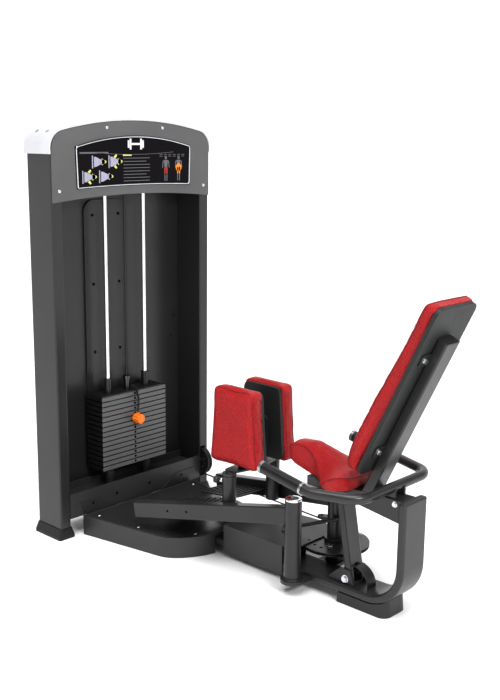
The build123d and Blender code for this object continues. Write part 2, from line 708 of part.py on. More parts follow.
def frame_bolts():
    """Large bright bolts: column foot, seat beam lug, back brackets and cable anchor plate."""
    bolts = []
    foot = fore(1132)
    outer = BEAM_HALF + 6.6
    for side in (-1, 1):
        bolts.append(hex_bolt((side * outer, foot, 84), (side, 0, 0), 11, 8, 7, 16))
        bolts.append(hex_bolt((side * (BEAM_HALF + 0.2), fore(1320), 404), (side, 0, 0), 8, 6, 0, 0))
    for distance in (BRACKET_LOW, BRACKET_HIGH):
        for side in (-1, 1):
            place = back_point(side * 62, distance, -BACK_BOARD - 6.2)
            bolts.append(hex_bolt(place, back_normal(-1), 8, 6, 0, 0))
    return bolts


def hex_bolt(place, axis, head_r, head_h, shank_r, shank):
    plane = Plane(origin=place, z_dir=axis)
    washer = extrude(plane * Circle(head_r * 1.25), 1.6)
    head = extrude(plane.offset(1.6) * RegularPolygon(head_r, 6), head_h)
    bolt = washer + head
    return bolt + extrude(plane * Circle(shank_r), -shank) if shank else bolt


# ---------------------------------------------------------------- seat
def seat_outline(inset):
    """Plan of the seat: narrow horn towards the tower, wide rounded rear."""
    half = [(850, 30), (866, 43), (940, 44), (988, 60), (1026, 84), (1058, 118), (1082, 142)]
    right = [(width - inset, fore(distance)) for distance, width in half]
    right[0] = (30 - inset * 0.5, fore(850 + inset))
    curve = Spline(*right)
    rear = Spline(right[-1], (136 - inset, fore(1122)), (96, fore(1156 - inset)), (0, fore(1166 - inset)),
                  tangents=[(0.35, -1), (-1, 0)])
    front = Line((0, fore(848 + inset)), right[0])
    half_face = make_face([front, curve, rear, Line((0, fore(1166 - inset)), (0, fore(848 + inset)))])
    return half_face + mirror(half_face, Plane.YZ)


SEAT_STATIONS = [                    # distance, half width, underside, height at the edge, height in the middle
    (850, 30, 466, 480, 486),
    (860, 40, 456, 508, 515),
    (880, 44, 445, 520, 528),
    (912, 44, 433, 520, 528),
    (940, 44, 424, 514, 523),
    (965, 50, 420.3, 499, 516),
    (990, 61, 420.3, 473, 507),
    (1015, 79, 420.3, 447, 499),
    (1040, 101, 420.3, 432, 492),
    (1065, 125, 420.3, 429, 486),
    (1088, 141, 420.3, 441, 481),
    (1112, 144, 420.3, 460, 475),
    (1138, 130, 420.3, 474, 469),
    (1158, 104, 420.3, 474, 463),
    (1167, 80, 420.3, 468, 460),
]


def seat_section(distance, half, low, edge, middle):
    """One cross-section of the seat, square to its length."""
    plane = Plane(origin=(0, fore(distance), 0), x_dir=(1, 0, 0), z_dir=(0, -1, 0))
    inner = edge + (middle - edge) * 0.72
    top = Spline((half, edge), (half * 0.5, inner), (0, middle), (-half * 0.5, inner), (-half, edge))
    rest = Polyline((-half, edge), (-half, low), (half, low), (half, edge))
    return plane * make_face([top, rest])


def seat_cushion():
    """Saddle-shaped seat: raised horn, thigh cut-outs that fall to the sides, and raised rear wings."""
    return loft([seat_section(*station) for station in SEAT_STATIONS], ruled=True)


def seat_pan():
    """Plywood pan between the cushion and the beam."""
    plate = raised(seat_outline(14), SEAT_BASE - 8, 8)
    plate &= block((-200, 200), (fore(1160), fore(965)), (380, SEAT_BASE + 1))
    return plate


# ---------------------------------------------------------------- back
SUPPORT_DEEP = 38.0
SUPPORT_MID = -BACK_BOARD - SUPPORT_DEEP / 2 - 0.2
SUPPORT_TOP = 534.0
BRACKET_LOW = 95.0
BRACKET_HIGH = 462.0


def back_normal(sign=1):
    """Direction out of the back's face towards the sitter."""
    turn = math.radians(BACK_ANGLE)
    return (0, sign * math.sin(turn), sign * math.cos(turn))


def back_point(x, along, out):
    """A place on the back: across, up along it from its lower edge, and out from the board's face."""
    turn = math.radians(BACK_ANGLE)
    y = BACK_Y - along * math.cos(turn) + out * math.sin(turn)
    z = BACK_Z + along * math.sin(turn) + out * math.cos(turn)
    return (x, y, z)


def back_plane(along, out):
    """A plane square to the back's length at that place."""
    turn = math.radians(BACK_ANGLE)
    return Plane(origin=back_point(0, along, out), x_dir=(1, 0, 0), z_dir=(0, -math.cos(turn), math.sin(turn)))


def board_plane(out):
    """A plane parallel to the back board, with its x across and its y up along the board."""
    return Plane(origin=back_point(0, 0, out), x_dir=(-1, 0, 0), z_dir=back_normal())


def back_board():
    outline = Pos(0, BACK_LENGTH / 2 - 0.5) * RectangleRounded(2 * BACK_HALF - 6, BACK_LENGTH - 7, 30)
    return extrude(board_plane(-BACK_BOARD) * outline, BACK_BOARD - 0.3)


def back_cushion():
    """Long cushion with a lumbar bulge, thinner towards the top."""
    profile = [(-8, 28), (37, 48), (103, 58), (170, 60), (265, 58), (360, 53), (482, 46), (600, 42), (645, 38)]
    turn = math.radians(BACK_ANGLE)
    side = Plane(origin=back_point(-BACK_HALF, 0, 0), x_dir=(0, -math.cos(turn), math.sin(turn)), z_dir=(1, 0, 0))
    sign = 1 if side.y_dir.dot(Vector(*back_normal())) > 0 else -1
    front = Spline(*[(along, sign * out) for along, out in profile])
    rest = Polyline((645, sign * 38), (BACK_LENGTH + 6, sign * 30), (BACK_LENGTH + 8, sign * 0.3),
                    (-8, sign * 0.3), (-8, sign * 28))
    body = extrude(side * make_face([front, rest]), 2 * BACK_HALF, dir=(1, 0, 0))
    outline = Pos(0, BACK_LENGTH / 2) * RectangleRounded(2 * BACK_HALF, BACK_LENGTH + 16, 24)
    return body & extrude(board_plane(0) * outline, 90)


def back_support():
    """Flat tube that carries the back, standing on the seat beam."""
    plane = back_plane(-100, SUPPORT_MID)
    outside = RectangleRounded(2 * BEAM_HALF, SUPPORT_DEEP, 6)
    inside = RectangleRounded(2 * BEAM_HALF - 6, SUPPORT_DEEP - 6, 3)
    tube = extrude(plane * (outside - inside), SUPPORT_TOP + 100)
    below = side_profile(beam_top(0.3) + [(fore(1348.6), 300), (fore(950), 300)], 80)
    return tube - below


def back_brackets():
    """Two cross plates behind the board, bolted through to it."""
    plates = []
    for along in (BRACKET_LOW, BRACKET_HIGH):
        outline = Pos(0, along) * RectangleRounded(164, 44, 8)
        plate = extrude(board_plane(-BACK_BOARD - 5.8) * outline, 5.6)
        notch = extrude(back_plane(along - 40, SUPPORT_MID) * RectangleRounded(2 * BEAM_HALF + 0.4,
                                                                          SUPPORT_DEEP + 0.2, 6), 80)
        plates.append(plate - notch)
    return plates


# ---------------------------------------------------------------- handles
HANDLE_FRONT = (-HANDLE_X, fore(929.5), 488)
HANDLE_BEND = (-HANDLE_X, fore(1135.5), 450)


def handle_bar():
    """Round tube from one hand round behind the back support to the other hand."""
    left = [HANDLE_FRONT, HANDLE_BEND, (-194, fore(1292), 450)]
    points = left + [(-x, y, z) for x, y, z in reversed(left)]
    path = FilletPolyline(*points, radius=[90, 72, 72, 90])
    start = Plane(origin=path @ 0, z_dir=path % 0)
    bar = sweep(start * Circle(HANDLE_R), path=path)
    for x in (-26, 26):
        lug = side_profile([(fore(1314), 418.2), (fore(1314), 450), (fore(1270), 450), (fore(1270), 418.2)], 4)
        bar += Pos(x, 0, 0) * lug
    return bar - sweep(start * Circle(HANDLE_R - 3), path=path)


def grip_line(distance):
    """A point on the straight hand stretch, that far from its front end."""
    start = Vector(*HANDLE_FRONT)
    along = (Vector(*HANDLE_BEND) - start).normalized()
    return tuple(start + along * distance)


def hand_grips():
    grip = pipe(grip_line(3), grip_line(170), GRIP_R, HANDLE_R + 0.1)
    return both_sides(grip)


def grip_rings():
    """Bright end plug and collar of each grip."""
    collar = pipe(grip_line(170.3), grip_line(180), GRIP_R + 1.5, HANDLE_R + 0.1)
    plug = rod(grip_line(-9), grip_line(2.7), GRIP_R + 1)
    plug = plug - rod(grip_line(-0.2), grip_line(3), HANDLE_R + 0.1)
    return both_sides(collar) + both_sides(plug)


# ---------------------------------------------------------------- leg arms, made on the left and mirrored
def arm_point(distance, across=0.0, height=0.0):
    """A place along the left arm: distance from the pivot, across towards the middle, height over its top."""
    spread = math.radians(ARM_SPREAD)
    x = -PIVOT_X - distance * math.sin(spread) + across * math.cos(spread)
    y = PIVOT_Y + distance * math.cos(spread) + across * math.sin(spread)
    z = ARM_TOP_Z - distance * math.tan(math.radians(ARM_DROP)) + height
    return (x, y, z)


def across_direction():
    spread = math.radians(ARM_SPREAD)
    return (math.cos(spread), math.sin(spread), 0)


def leg_arm():
    """Falling rectangular tube with its pivot sleeve and the housing for the pad post."""
    drop = ARM_HEIGHT / 2 / math.cos(math.radians(ARM_DROP))
    start = arm_point(0, 0, -drop)
    end = arm_point(ARM_LENGTH, 0, -drop)
    tube = flat_tube(start, end, ARM_WIDTH, ARM_HEIGHT, 3, 5, x_dir=across_direction())
    end_plate = flat_tube(arm_point(ARM_LENGTH - 4, 0, -drop), end, ARM_WIDTH - 0.5, ARM_HEIGHT - 0.5, 19, 5,
                          x_dir=across_direction())
    sleeve = rod((-PIVOT_X, PIVOT_Y, PIVOT_LOW), (-PIVOT_X, PIVOT_Y, PIVOT_TOP), 30)
    pole = rod((-POLE_X, POLE_Y, POLE_LOW), (-POLE_X, POLE_Y, POLE_TOP), POLE_R)
    x, y = crank_end()
    crank = rod((x, y, CRANK_LOW), (x, y, CRANK_LOW + 8), 16)
    crank += block((-PIVOT_X - 16, -PIVOT_X + 16), (PIVOT_Y, PIVOT_Y + CRANK_R), (CRANK_LOW, CRANK_LOW + 8)).rotate(
        Axis((-PIVOT_X, PIVOT_Y, 0), (0, 0, 1)), CRANK_TURN - 90)
    arm = tube + end_plate + sleeve + crank + (pole - flat_core())
    arm -= rod((-PIVOT_X, PIVOT_Y, PIVOT_LOW - 5), (-PIVOT_X, PIVOT_Y, PIVOT_TOP + 5), SHAFT_R + RUNNING_GAP)
    arm -= rod((-POLE_X, POLE_Y, POLE_LOW + 12), (-POLE_X, POLE_Y, POLE_TOP + 5), POST_R + RUNNING_GAP)
    arm -= rod((x, y, CRANK_LOW - 1), (x, y, CRANK_LOW + 9), 6 + RUNNING_GAP)
    for distance in (455, 545):
        arm -= rod(arm_point(distance, -60, -drop), arm_point(distance, 60, -drop), 4.6)
    return arm


def crank_end():
    """Plan position of the left crank's pin."""
    turn = math.radians(CRANK_TURN)
    return -PIVOT_X + CRANK_R * math.cos(turn), PIVOT_Y + CRANK_R * math.sin(turn)


def tie_rod():
    """Rod that crosses between the two cranks, pinned to the left one."""
    x, y = crank_end()
    far_x, far_y = 2 * PIVOT_X + x, 2 * PIVOT_Y - y
    low = CRANK_LOW + 8.4
    height = low + 8
    bar = rod((x, y, height), (far_x, far_y, height), 7)
    for end_x, end_y in ((x, y), (far_x, far_y)):
        bar += rod((end_x, end_y, low), (end_x, end_y, low + 16), 14)
        bar += extrude(Pos(end_x, end_y, low + 16) * RegularPolygon(10, 6), 7)
    return bar + rod((x, y, CRANK_LOW), (x, y, low + 1), 6)


def flat_core():
    """The inside of the arm tube, kept clear where the housing is welded on."""
    drop = ARM_HEIGHT / 2 / math.cos(math.radians(ARM_DROP))
    along = Vector(*arm_point(ARM_LENGTH, 0, -drop)) - Vector(*arm_point(0, 0, -drop))
    plane = Plane(origin=arm_point(0, 0, -drop), x_dir=across_direction(), z_dir=along)
    return extrude(plane * Rectangle(ARM_WIDTH - 2, ARM_HEIGHT - 2), along.length)


def foot_rest():
    """Ribbed tread plate with rounded corners, bolted to the inside of the arm by an angle."""
    drop = ARM_HEIGHT / 2 / math.cos(math.radians(ARM_DROP))
    along = Vector(*arm_point(ARM_LENGTH)) - Vector(*arm_point(0))
    across = Vector(*across_direction())
    up = across.cross(along).normalized()
    middle = Vector(*arm_point(500, ARM_WIDTH / 2 + 76, -drop)) + up * -6
    plane = Plane(origin=middle, x_dir=across, z_dir=up)
    plate = extrude(plane * RectangleRounded(148, 250, 22), 6)
    for step in range(-4, 5):
        rib = plane.offset(6) * (Pos(0, step * 26) * RectangleRounded(128, 7, 3))
        plate += extrude(rib, 4)
    wall = plane * (Pos(-71.7, 0) * Rectangle(5, 150))
    plate += extrude(wall, -24)
    return plate


def pad_post():
    """Swivel post with a bent arm that reaches under the pad and up its board."""
    post = rod((-POLE_X, POLE_Y, POLE_LOW + 13), (-POLE_X, POLE_Y, POLE_TOP + 14), POST_R)
    low = POLE_TOP + 2
    post += rod((-POLE_X, POLE_Y, low), (-POLE_X, POLE_Y, low + 9), POLE_R)
    outline = Polyline((-POLE_X, POLE_Y - 22), (-PAD_BOARD_IN + 0.3, PAD_MID_Y - 36),
                       (-PAD_BOARD_IN + 8.3, PAD_MID_Y - 36), (-PAD_BOARD_IN + 8.3, PAD_MID_Y + 36),
                       (-PAD_BOARD_IN + 0.3, PAD_MID_Y + 36), (-POLE_X, POLE_Y + 22), close=True)
    shelf = raised(make_face(outline), low + 9, 9)
    upright = block((-PAD_BOARD_IN + 0.3, -PAD_BOARD_IN + 8.3), (PAD_MID_Y - 36, PAD_MID_Y + 36), (low + 9, 560))
    upright = fillet(upright.edges().filter_by(Axis.X).group_by(Axis.Z)[-1], 20)
    return post + shelf + upright


def pad_face(inset, low, high):
    """Side outline of a thigh pad, narrower towards the top, in the YZ plane."""
    bottom_half = PAD_HALF_LOW - inset
    top_half = PAD_HALF_HIGH - inset
    corners = Polyline((PAD_MID_Y - bottom_half, low), (PAD_MID_Y + bottom_half, low),
                       (PAD_MID_Y + top_half, high), (PAD_MID_Y - top_half, high), close=True)
    return fillet(make_face(corners).vertices(), 22)


def pad_slab(face_yz, x_from, thick):
    side = Plane(origin=(x_from, 0, 0), x_dir=(0, 1, 0), z_dir=(1, 0, 0))
    return extrude(side * face_yz, thick, dir=(1, 0, 0))


def pad_board():
    return pad_slab(pad_face(13, PAD_LOW + 12, PAD_HIGH - 13), -PAD_BOARD_IN - PAD_BOARD + 0.3, PAD_BOARD - 0.3)


def pad_cushion():
    body = pad_slab(pad_face(0, PAD_LOW, PAD_HIGH), -PAD_BOARD_IN - PAD_BOARD - PAD_THICK, PAD_THICK)
    return fillet(body.edges().group_by(Axis.X)[0], 14)


def cable_cam():
    """Grooved disc clamped round the right-hand sleeve, which winds the cable."""
    half = 6.0
    rim = CAM_R + 5
    base = CAM_R - CABLE_R - 0.4
    profile = Polyline((30.05, -half), (rim, -half), (rim, -3.6), (base, -3.3), (base, 3.3), (rim, 3.6),
                       (rim, half), (30.05, half), close=True)
    disc = revolve(make_face(Plane.XZ * profile), Axis.Z)
    for step in range(7):
        turn = math.radians(118 + 22 * step)
        disc -= Pos(88 * math.cos(turn), 88 * math.sin(turn), 0) * Cylinder(6, 20)
    cam = Pos(PIVOT_X, PIVOT_Y, CAM_Z) * disc
    hub = pipe((PIVOT_X, PIVOT_Y, CAM_Z + half), (PIVOT_X, PIVOT_Y, CAM_Z + 22), 40, 30.05)
    return cam + hub


def cam_bolts():
    """Cable anchor bolt and the clamp bolts of the cam's hub."""
    bolts = []
    for turn, radius in ((-16, 108), (-160, 60)):
        x = PIVOT_X + radius * math.cos(math.radians(turn))
        y = PIVOT_Y + radius * math.sin(math.radians(turn))
        bolts.append(hex_bolt((x, y, CAM_Z + 6.1), (0, 0, 1), 9, 7, 0, 0))
    return bolts


# ---------------------------------------------------------------- build
def build_tower():
    add("left_post", tower_post(-1))
    add("right_post", tower_post(1))
    add("tower_foot_caps", foot_caps())
    add("top_cap", top_cap())
    add("head_panel", head_panel())
    add("placard", placard())
    add("panel_screws", small_screws())
    add("rear_panel", rear_panel())
    add("raised_back_plate", raised_plate())
    add("top_cross_member", top_cross_member())
    add("base_channel", base_channel())
    add("guide_rods", guide_rods())
    add("stack_buffers", buffers())


def build_stack():
    add("top_plate", top_plate())
    add("weight_plates_lifted", [weight_plate(number) for number in range(1, PIN_PLATE + 1)])
    add("weight_plates_resting", [weight_plate(number) for number in range(PIN_PLATE + 1, PLATE_COUNT)])
    add("guide_bushings", guide_bushings())
    add("selector_stem", selector_stem())
    add("selector_pin", selector_pin())
    add("selector_knob", selector_knob())
    add("lanyard", lanyard())


def build_cable():
    add("top_pulley_inner", pulley(top_pulley_place(False), (0, 1, 0), TOP_PULLEY_R, 22, 8 + RUNNING_GAP))
    add("top_pulley_outer", pulley(top_pulley_place(True), (0, 1, 0), TOP_PULLEY_R, 22, 8 + RUNNING_GAP))
    add("base_pulley", pulley(base_pulley_place(), (1, 0, 0), BASE_PULLEY_R, 24, 8 + RUNNING_GAP))
    add("pulley_brackets", pulley_brackets() + pulley_axles())
    add("main_cable", main_cable())
    add("cable_cam", cable_cam())
    add("cam_bolts", cam_bolts())


def build_frame():
    add("main_frame", main_frame())
    add("rear_foot", rear_foot())
    add("tube_end_caps", end_caps())
    add("base_cover", base_cover())
    add("base_cover_plate", cover_plate())
    add("centre_box", centre_box())
    add("pivot_carrier", pivot_carrier())
    add("pivot_rings", pivot_rings())
    add("seat_column", seat_column())
    add("column_bracket", column_bracket())
    add("seat_beam", seat_beam())
    add("frame_bolts", frame_bolts())


def build_seat():
    add("seat_cushion", seat_cushion())
    add("seat_pan", seat_pan())
    add("back_board", back_board())
    add("back_cushion", back_cushion())
    add("back_support", back_support())
    add("back_brackets", back_brackets())
    add("handle_bar", handle_bar())
    add("hand_grips", hand_grips())
    add("grip_rings", grip_rings())


def build_arms():
    makers = {"arm": leg_arm, "foot_rest": foot_rest, "pad_post": pad_post, "pad_board": pad_board,
              "pad_cushion": pad_cushion}
    for name, maker in makers.items():
        shape = maker()
        add("left_" + name, shape)
        add("right_" + name, mirror_x(shape))
    add("tie_rod", tie_rod())


def main():
    os.makedirs("parts", exist_ok=True)
    build_tower()
    build_stack()
    build_cable()
    build_frame()
    build_seat()
    build_arms()
    low = [1e9] * 3
    high = [-1e9] * 3
    for name, shape in nodes.items():
        export_step(shape, os.path.join("parts", name + ".step"))
        box = shape.bounding_box()
        low = [min(a, b) for a, b in zip(low, (box.min.X, box.min.Y, box.min.Z))]
        high = [max(a, b) for a, b in zip(high, (box.max.X, box.max.Y, box.max.Z))]
    print(len(nodes), "nodes; box", [round(v, 2) for v in low], [round(v, 2) for v in high])


main()
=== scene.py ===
import bmesh
import bpy
import json
import math
from mathutils import Matrix, Vector
from mathutils.bvhtree import BVHTree


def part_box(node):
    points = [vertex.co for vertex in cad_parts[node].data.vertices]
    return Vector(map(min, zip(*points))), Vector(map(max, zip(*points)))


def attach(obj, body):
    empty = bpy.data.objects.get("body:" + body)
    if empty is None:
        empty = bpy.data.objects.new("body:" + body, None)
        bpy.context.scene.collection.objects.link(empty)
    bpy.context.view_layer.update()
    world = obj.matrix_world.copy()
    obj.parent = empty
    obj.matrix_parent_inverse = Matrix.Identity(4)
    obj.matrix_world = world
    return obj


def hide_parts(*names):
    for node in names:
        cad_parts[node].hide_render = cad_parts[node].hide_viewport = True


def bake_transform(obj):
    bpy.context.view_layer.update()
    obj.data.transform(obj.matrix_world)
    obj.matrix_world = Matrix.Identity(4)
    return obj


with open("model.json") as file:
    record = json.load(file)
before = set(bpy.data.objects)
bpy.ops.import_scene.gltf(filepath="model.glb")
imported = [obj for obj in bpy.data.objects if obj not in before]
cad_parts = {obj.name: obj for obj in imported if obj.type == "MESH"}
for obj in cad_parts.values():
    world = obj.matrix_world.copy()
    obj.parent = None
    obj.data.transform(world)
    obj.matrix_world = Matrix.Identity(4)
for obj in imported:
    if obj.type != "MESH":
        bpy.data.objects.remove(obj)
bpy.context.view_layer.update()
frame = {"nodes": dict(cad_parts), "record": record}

NODES = frame["nodes"]
RECORD = frame["record"]
JOINTS = {joint["name"]: joint for joint in RECORD["behaviour"]["joints"]}
SCENE = bpy.context.scene

# Camera
CAMERA_PLACE = (-2.6735, -2.4443, 1.600)
CAMERA_TURN = (77.74, -47.09, 0.64)      # tilt from straight down, turn about Z, roll, in degrees
LENS_MM = 52.47
SENSOR_MM = 36.0

# Studio
BACKDROP_SIDE = (0.73, 0.68, 0.0)        # the backdrop stands on this side of the machine
BACKDROP_FADE = (0.30, 0.75)             # how squarely a direction faces the backdrop, at the fade's two ends
HORIZON_FADE = (0.04, 0.18)              # height of a direction at the two ends of the horizon's fade
ROOM_STRENGTH = 0.30                     # the room's brightness beside the backdrop's 1
KEY_WATTS = 95.0
SIDE_WATTS = 6.0
OVERHEAD_STRENGTH = 2.7
OVERHEAD_WIDTH = 50.0                    # degrees across
FLOOR_REACH = 150.0
FLOOR_DROP = 0.0005

# Upholstery
SOFT_VOXEL = 0.0055
SIM_FRAMES = 20
CLOTH_PRESSURE = 4.0
ON_BOARD = 0.002                         # a point this near the board lies on it
OFF_BOARD = 0.004                        # a point further away than this is free of it
BOARD_GAP = 0.0004
CRISP_ANGLE = 0.5                        # radians between two faces
EDGE_PIPING_RADIUS = 0.0019
PAD_PIPING_INSET = 0.0075
PAD_SEAM_INSET = 0.010
SEAT_CROWN = 0.015                       # extra height of the foam along the middle of the seat
SEAT_CROWN_REACH = (0.085, 0.115)        # across and along the seat
BACK_FACE_TURN = 64.3                    # degrees from straight up to the way that the backrest faces

# Small hardware
PLUNGER_DROP = 0.023                     # from the top of the arm's housing
PLUNGER_WAY = (0.35, 0.94)               # outwards, and towards the tower
HOUSING_RADIUS = 0.0245
HOUSING_WELD_DROP = 0.0125               # from the foot of the pad's post
CARRIER_WELD_RISE = 0.0125               # from the foot of the carrier
CARRIER_WELD_RADIUS = 0.0335
CHANNEL_SCREWS = ((-0.244, 0.078), (-0.118, 0.088), (0.060, 0.088), (0.244, 0.078))      # x, and rise
TREAD_SCREWS = ((0.90, 0.94), (0.88, 0.52), (0.52, 0.09))      # shares of the half width and of the depth
TURNED_SIDES = 20
PLUG_SHARES = (0.30, 0.70)               # along the depth of the top cap
PLUG_INSET = 0.030
COLUMN_FOOT = (0.038, 0.002, 0.030)      # half width, then the weld's two ends from the column's back


# ---------------------------------------------------------------- camera, light and floor
def make_camera():
    data = bpy.data.cameras.new("camera")
    data.lens = LENS_MM
    data.sensor_width = SENSOR_MM
    camera = bpy.data.objects.new("camera", data)
    tilt, turn, roll = (math.radians(value) for value in CAMERA_TURN)
    aim = Matrix.Rotation(turn, 4, "Z") @ Matrix.Rotation(tilt, 4, "X") @ Matrix.Rotation(roll, 4, "Z")
    camera.matrix_world = Matrix.Translation(CAMERA_PLACE) @ aim
    SCENE.collection.objects.link(camera)
    SCENE.camera = camera


def area_light(name, place, aim, size, power):
    data = bpy.data.lights.new(name, "AREA")
    data.shape = "RECTANGLE"
    data.size, data.size_y = size
    data.energy = power
    light = bpy.data.objects.new(name, data)
    light.location = place
    light.rotation_euler = (Vector(aim) - Vector(place)).to_track_quat("-Z", "Y").to_euler()
    SCENE.collection.objects.link(light)


def overhead_light(strength, direction):
    """Wide, even light from above that treats the whole floor alike."""
    data = bpy.data.lights.new("overhead", "SUN")
    data.energy = strength
    data.angle = math.radians(OVERHEAD_WIDTH)
    light = bpy.data.objects.new("overhead", data)
    light.rotation_euler = Vector(direction).to_track_quat("-Z", "Y").to_euler()
    SCENE.collection.objects.link(light)


def make_surroundings():
    """White backdrop and horizon, and a dimmer room elsewhere, so that dark paint keeps its depth."""
    world = bpy.data.worlds.new("surroundings")
    world.use_nodes = True
    tree = world.node_tree
    place = tree.nodes.new("ShaderNodeTexCoord")
    towards = tree.nodes.new("ShaderNodeVectorMath")
    towards.operation = "DOT_PRODUCT"
    towards.inputs[1].default_value = BACKDROP_SIDE
    split = tree.nodes.new("ShaderNodeSeparateXYZ")
    backdrop = smooth_step(tree, towards.outputs["Value"], BACKDROP_FADE, (ROOM_STRENGTH, 1.0))
    horizon = smooth_step(tree, split.outputs["Z"], HORIZON_FADE, (1.0, ROOM_STRENGTH))
    brighter = tree.nodes.new("ShaderNodeMath")
    brighter.operation = "MAXIMUM"
    back = tree.nodes["Background"]
    back.inputs["Color"].default_value = (1.0, 1.0, 1.0, 1.0)
    tree.links.new(place.outputs["Generated"], towards.inputs[0])
    tree.links.new(place.outputs["Generated"], split.inputs["Vector"])
    tree.links.new(backdrop, brighter.inputs[0])
    tree.links.new(horizon, brighter.inputs[1])
    tree.links.new(brighter.outputs["Value"], back.inputs["Strength"])
    SCENE.world = world


def smooth_step(tree, value, source, target):
    """Maps value from the source range to the target range with soft ends."""
    fade = tree.nodes.new("ShaderNodeMapRange")
    fade.interpolation_type = "SMOOTHSTEP"
    fade.inputs["From Min"].default_value, fade.inputs["From Max"].default_value = source
    fade.inputs["To Min"].default_value, fade.inputs["To Max"].default_value = target
    tree.links.new(value, fade.inputs["Value"])
    return fade.outputs["Result"]


def make_floor():
    reach = FLOOR_REACH
    mesh = bpy.data.meshes.new("floor")
    corners_of_floor = [(-reach, -reach, 0), (reach, -reach, 0), (reach, reach, 0), (-reach, reach, 0)]
    mesh.from_pydata(corners_of_floor, [], [(0, 1, 2, 3)])
    floor = bpy.data.objects.new("floor", mesh)
    floor.location.z = -FLOOR_DROP
    SCENE.collection.objects.link(floor)
    pale = Shader("pale_floor", (0.93, 0.93, 0.93), 0.9)
    pale.speckle(3.0, 0.02)
    mesh.materials.append(pale.material)


def make_studio():
    """Plain pale floor, white surroundings and soft light from the front, the side and above."""
    make_surroundings()
    SCENE.view_settings.view_transform = "Standard"
    SCENE.view_settings.look = "Medium High Contrast"
    area_light("key", (-1.2, -4.0, 3.0), (0.0, 0.1, 0.8), (1.4, 1.0), KEY_WATTS)
    area_light("side", (-4.2, 0.4, 1.9), (0.0, 0.2, 0.7), (0.9, 1.6), SIDE_WATTS)
    overhead_light(OVERHEAD_STRENGTH, (0.25, 0.12, -1.0))
    make_floor()


# ---------------------------------------------------------------- materials
class Shader:
    """A principled material built up from small procedural layers in object space."""

    def __init__(self, name, colour, roughness, **constants):
        self.material = bpy.data.materials.new(name)
        self.material.use_nodes = True
        self.tree = self.material.node_tree
        self.surface = self.tree.nodes["Principled BSDF"]
        self.colour = colour
        self.surface.inputs["Base Color"].default_value = (*colour, 1.0)
        self.surface.inputs["Roughness"].default_value = roughness
        self.roughness = roughness
        for key, value in constants.items():
            self.surface.inputs[key.replace("_", " ")].default_value = value
        self.place = self.node("ShaderNodeTexCoord").outputs["Object"]
        self.normal = None

    def node(self, kind, **values):
        """A new node; each value goes to the input of that name, or else to the node's setting."""
        made = self.tree.nodes.new(kind)
        for key, value in values.items():
            if key in made.inputs:
                made.inputs[key].default_value = value
            else:
                setattr(made, key, value)
        return made

    def link(self, start, end):
        self.tree.links.new(start, end)

    def noise(self, scale, detail, stretch=None):
        """Noise in object space, stretched along the axes where stretch says so."""
        made = self.node("ShaderNodeTexNoise", Scale=scale, Detail=detail)
        source = self.place
        if stretch:
            mapping = self.node("ShaderNodeMapping")
            mapping.inputs["Scale"].default_value = stretch
            self.link(source, mapping.inputs["Vector"])
            source = mapping.outputs["Vector"]
        self.link(source, made.inputs["Vector"])
        return made.outputs["Fac"]

    def ramp(self, fac, stops):
        made = self.node("ShaderNodeValToRGB")
        elements = made.color_ramp.elements
        while len(elements) < len(stops):
            elements.new(0.5)
        for element, (where, colour) in zip(elements, stops):
            element.position = where
            element.color = (*colour, 1.0)
        self.link(fac, made.inputs["Fac"])
        return made.outputs["Color"]

    def speckle(self, scale, amount):
        """Slow drift of the base colour, lighter and darker by that share."""
        low = tuple(max(channel * (1 - amount), 0) for channel in self.colour)
        high = tuple(min(channel * (1 + amount), 1) for channel in self.colour)
        fac = self.noise(scale, 3.0)
        self.link(self.ramp(fac, [(0.3, low), (0.7, high)]), self.surface.inputs["Base Color"])
        return self

    def sheen_drift(self, scale, amount):
        """Patches of slightly different roughness."""
        low = max(self.roughness - amount, 0.02)
        made = self.node("ShaderNodeMapRange")
        made.inputs["To Min"].default_value = low
        made.inputs["To Max"].default_value = min(self.roughness + amount, 1.0)
        self.link(self.noise(scale, 2.0), made.inputs["Value"])
        self.link(made.outputs["Result"], self.surface.inputs["Roughness"])
        return self

    def soft_edges(self, radius):
        """Lets edges catch light as if they were slightly rounded."""
        made = self.node("ShaderNodeBevel", samples=4, Radius=radius)
        self.normal = made.outputs["Normal"]
        self.link(self.normal, self.surface.inputs["Normal"])
        return self

    def bump(self, height, strength, distance):
        made = self.node("ShaderNodeBump", Strength=strength, Distance=distance)
        self.link(height, made.inputs["Height"])
        if self.normal:
            self.link(self.normal, made.inputs["Normal"])
        self.normal = made.outputs["Normal"]
        self.link(self.normal, self.surface.inputs["Normal"])
        return self

    def grain(self, scale, strength, distance):
        return self.bump(self.noise(scale, 2.0), strength, distance)


def painted(name, colour, roughness, edge=0.0016):
    """Powder-coated steel: faint orange peel and drift of tone, edges slightly softened."""
    made = Shader(name, colour, roughness, Metallic=0.0, IOR=1.5)
    made.speckle(5.0, 0.10).sheen_drift(22.0, 0.05).soft_edges(edge)
    return made.grain(420.0, 0.10, 0.0006).material


def moulded(name, colour, roughness, texture=650.0, depth=0.25, shine=0.5):
    """Moulded plastic with a fine spark-eroded texture."""
    made = Shader(name, colour, roughness, IOR=1.46, Specular_IOR_Level=shine)
    made.speckle(9.0, 0.08).sheen_drift(35.0, 0.06).soft_edges(0.0012)
    return made.grain(texture, depth, 0.0005).material


def metal(name, colour, roughness, along=None):
    """Bare metal with faint marks, drawn out where along gives the noise's scale on each axis."""
    made = Shader(name, colour, roughness, Metallic=1.0)
    made.speckle(14.0, 0.06).sheen_drift(60.0, 0.04)
    return made.bump(made.noise(260.0, 3.0, along), 0.06, 0.0003).material


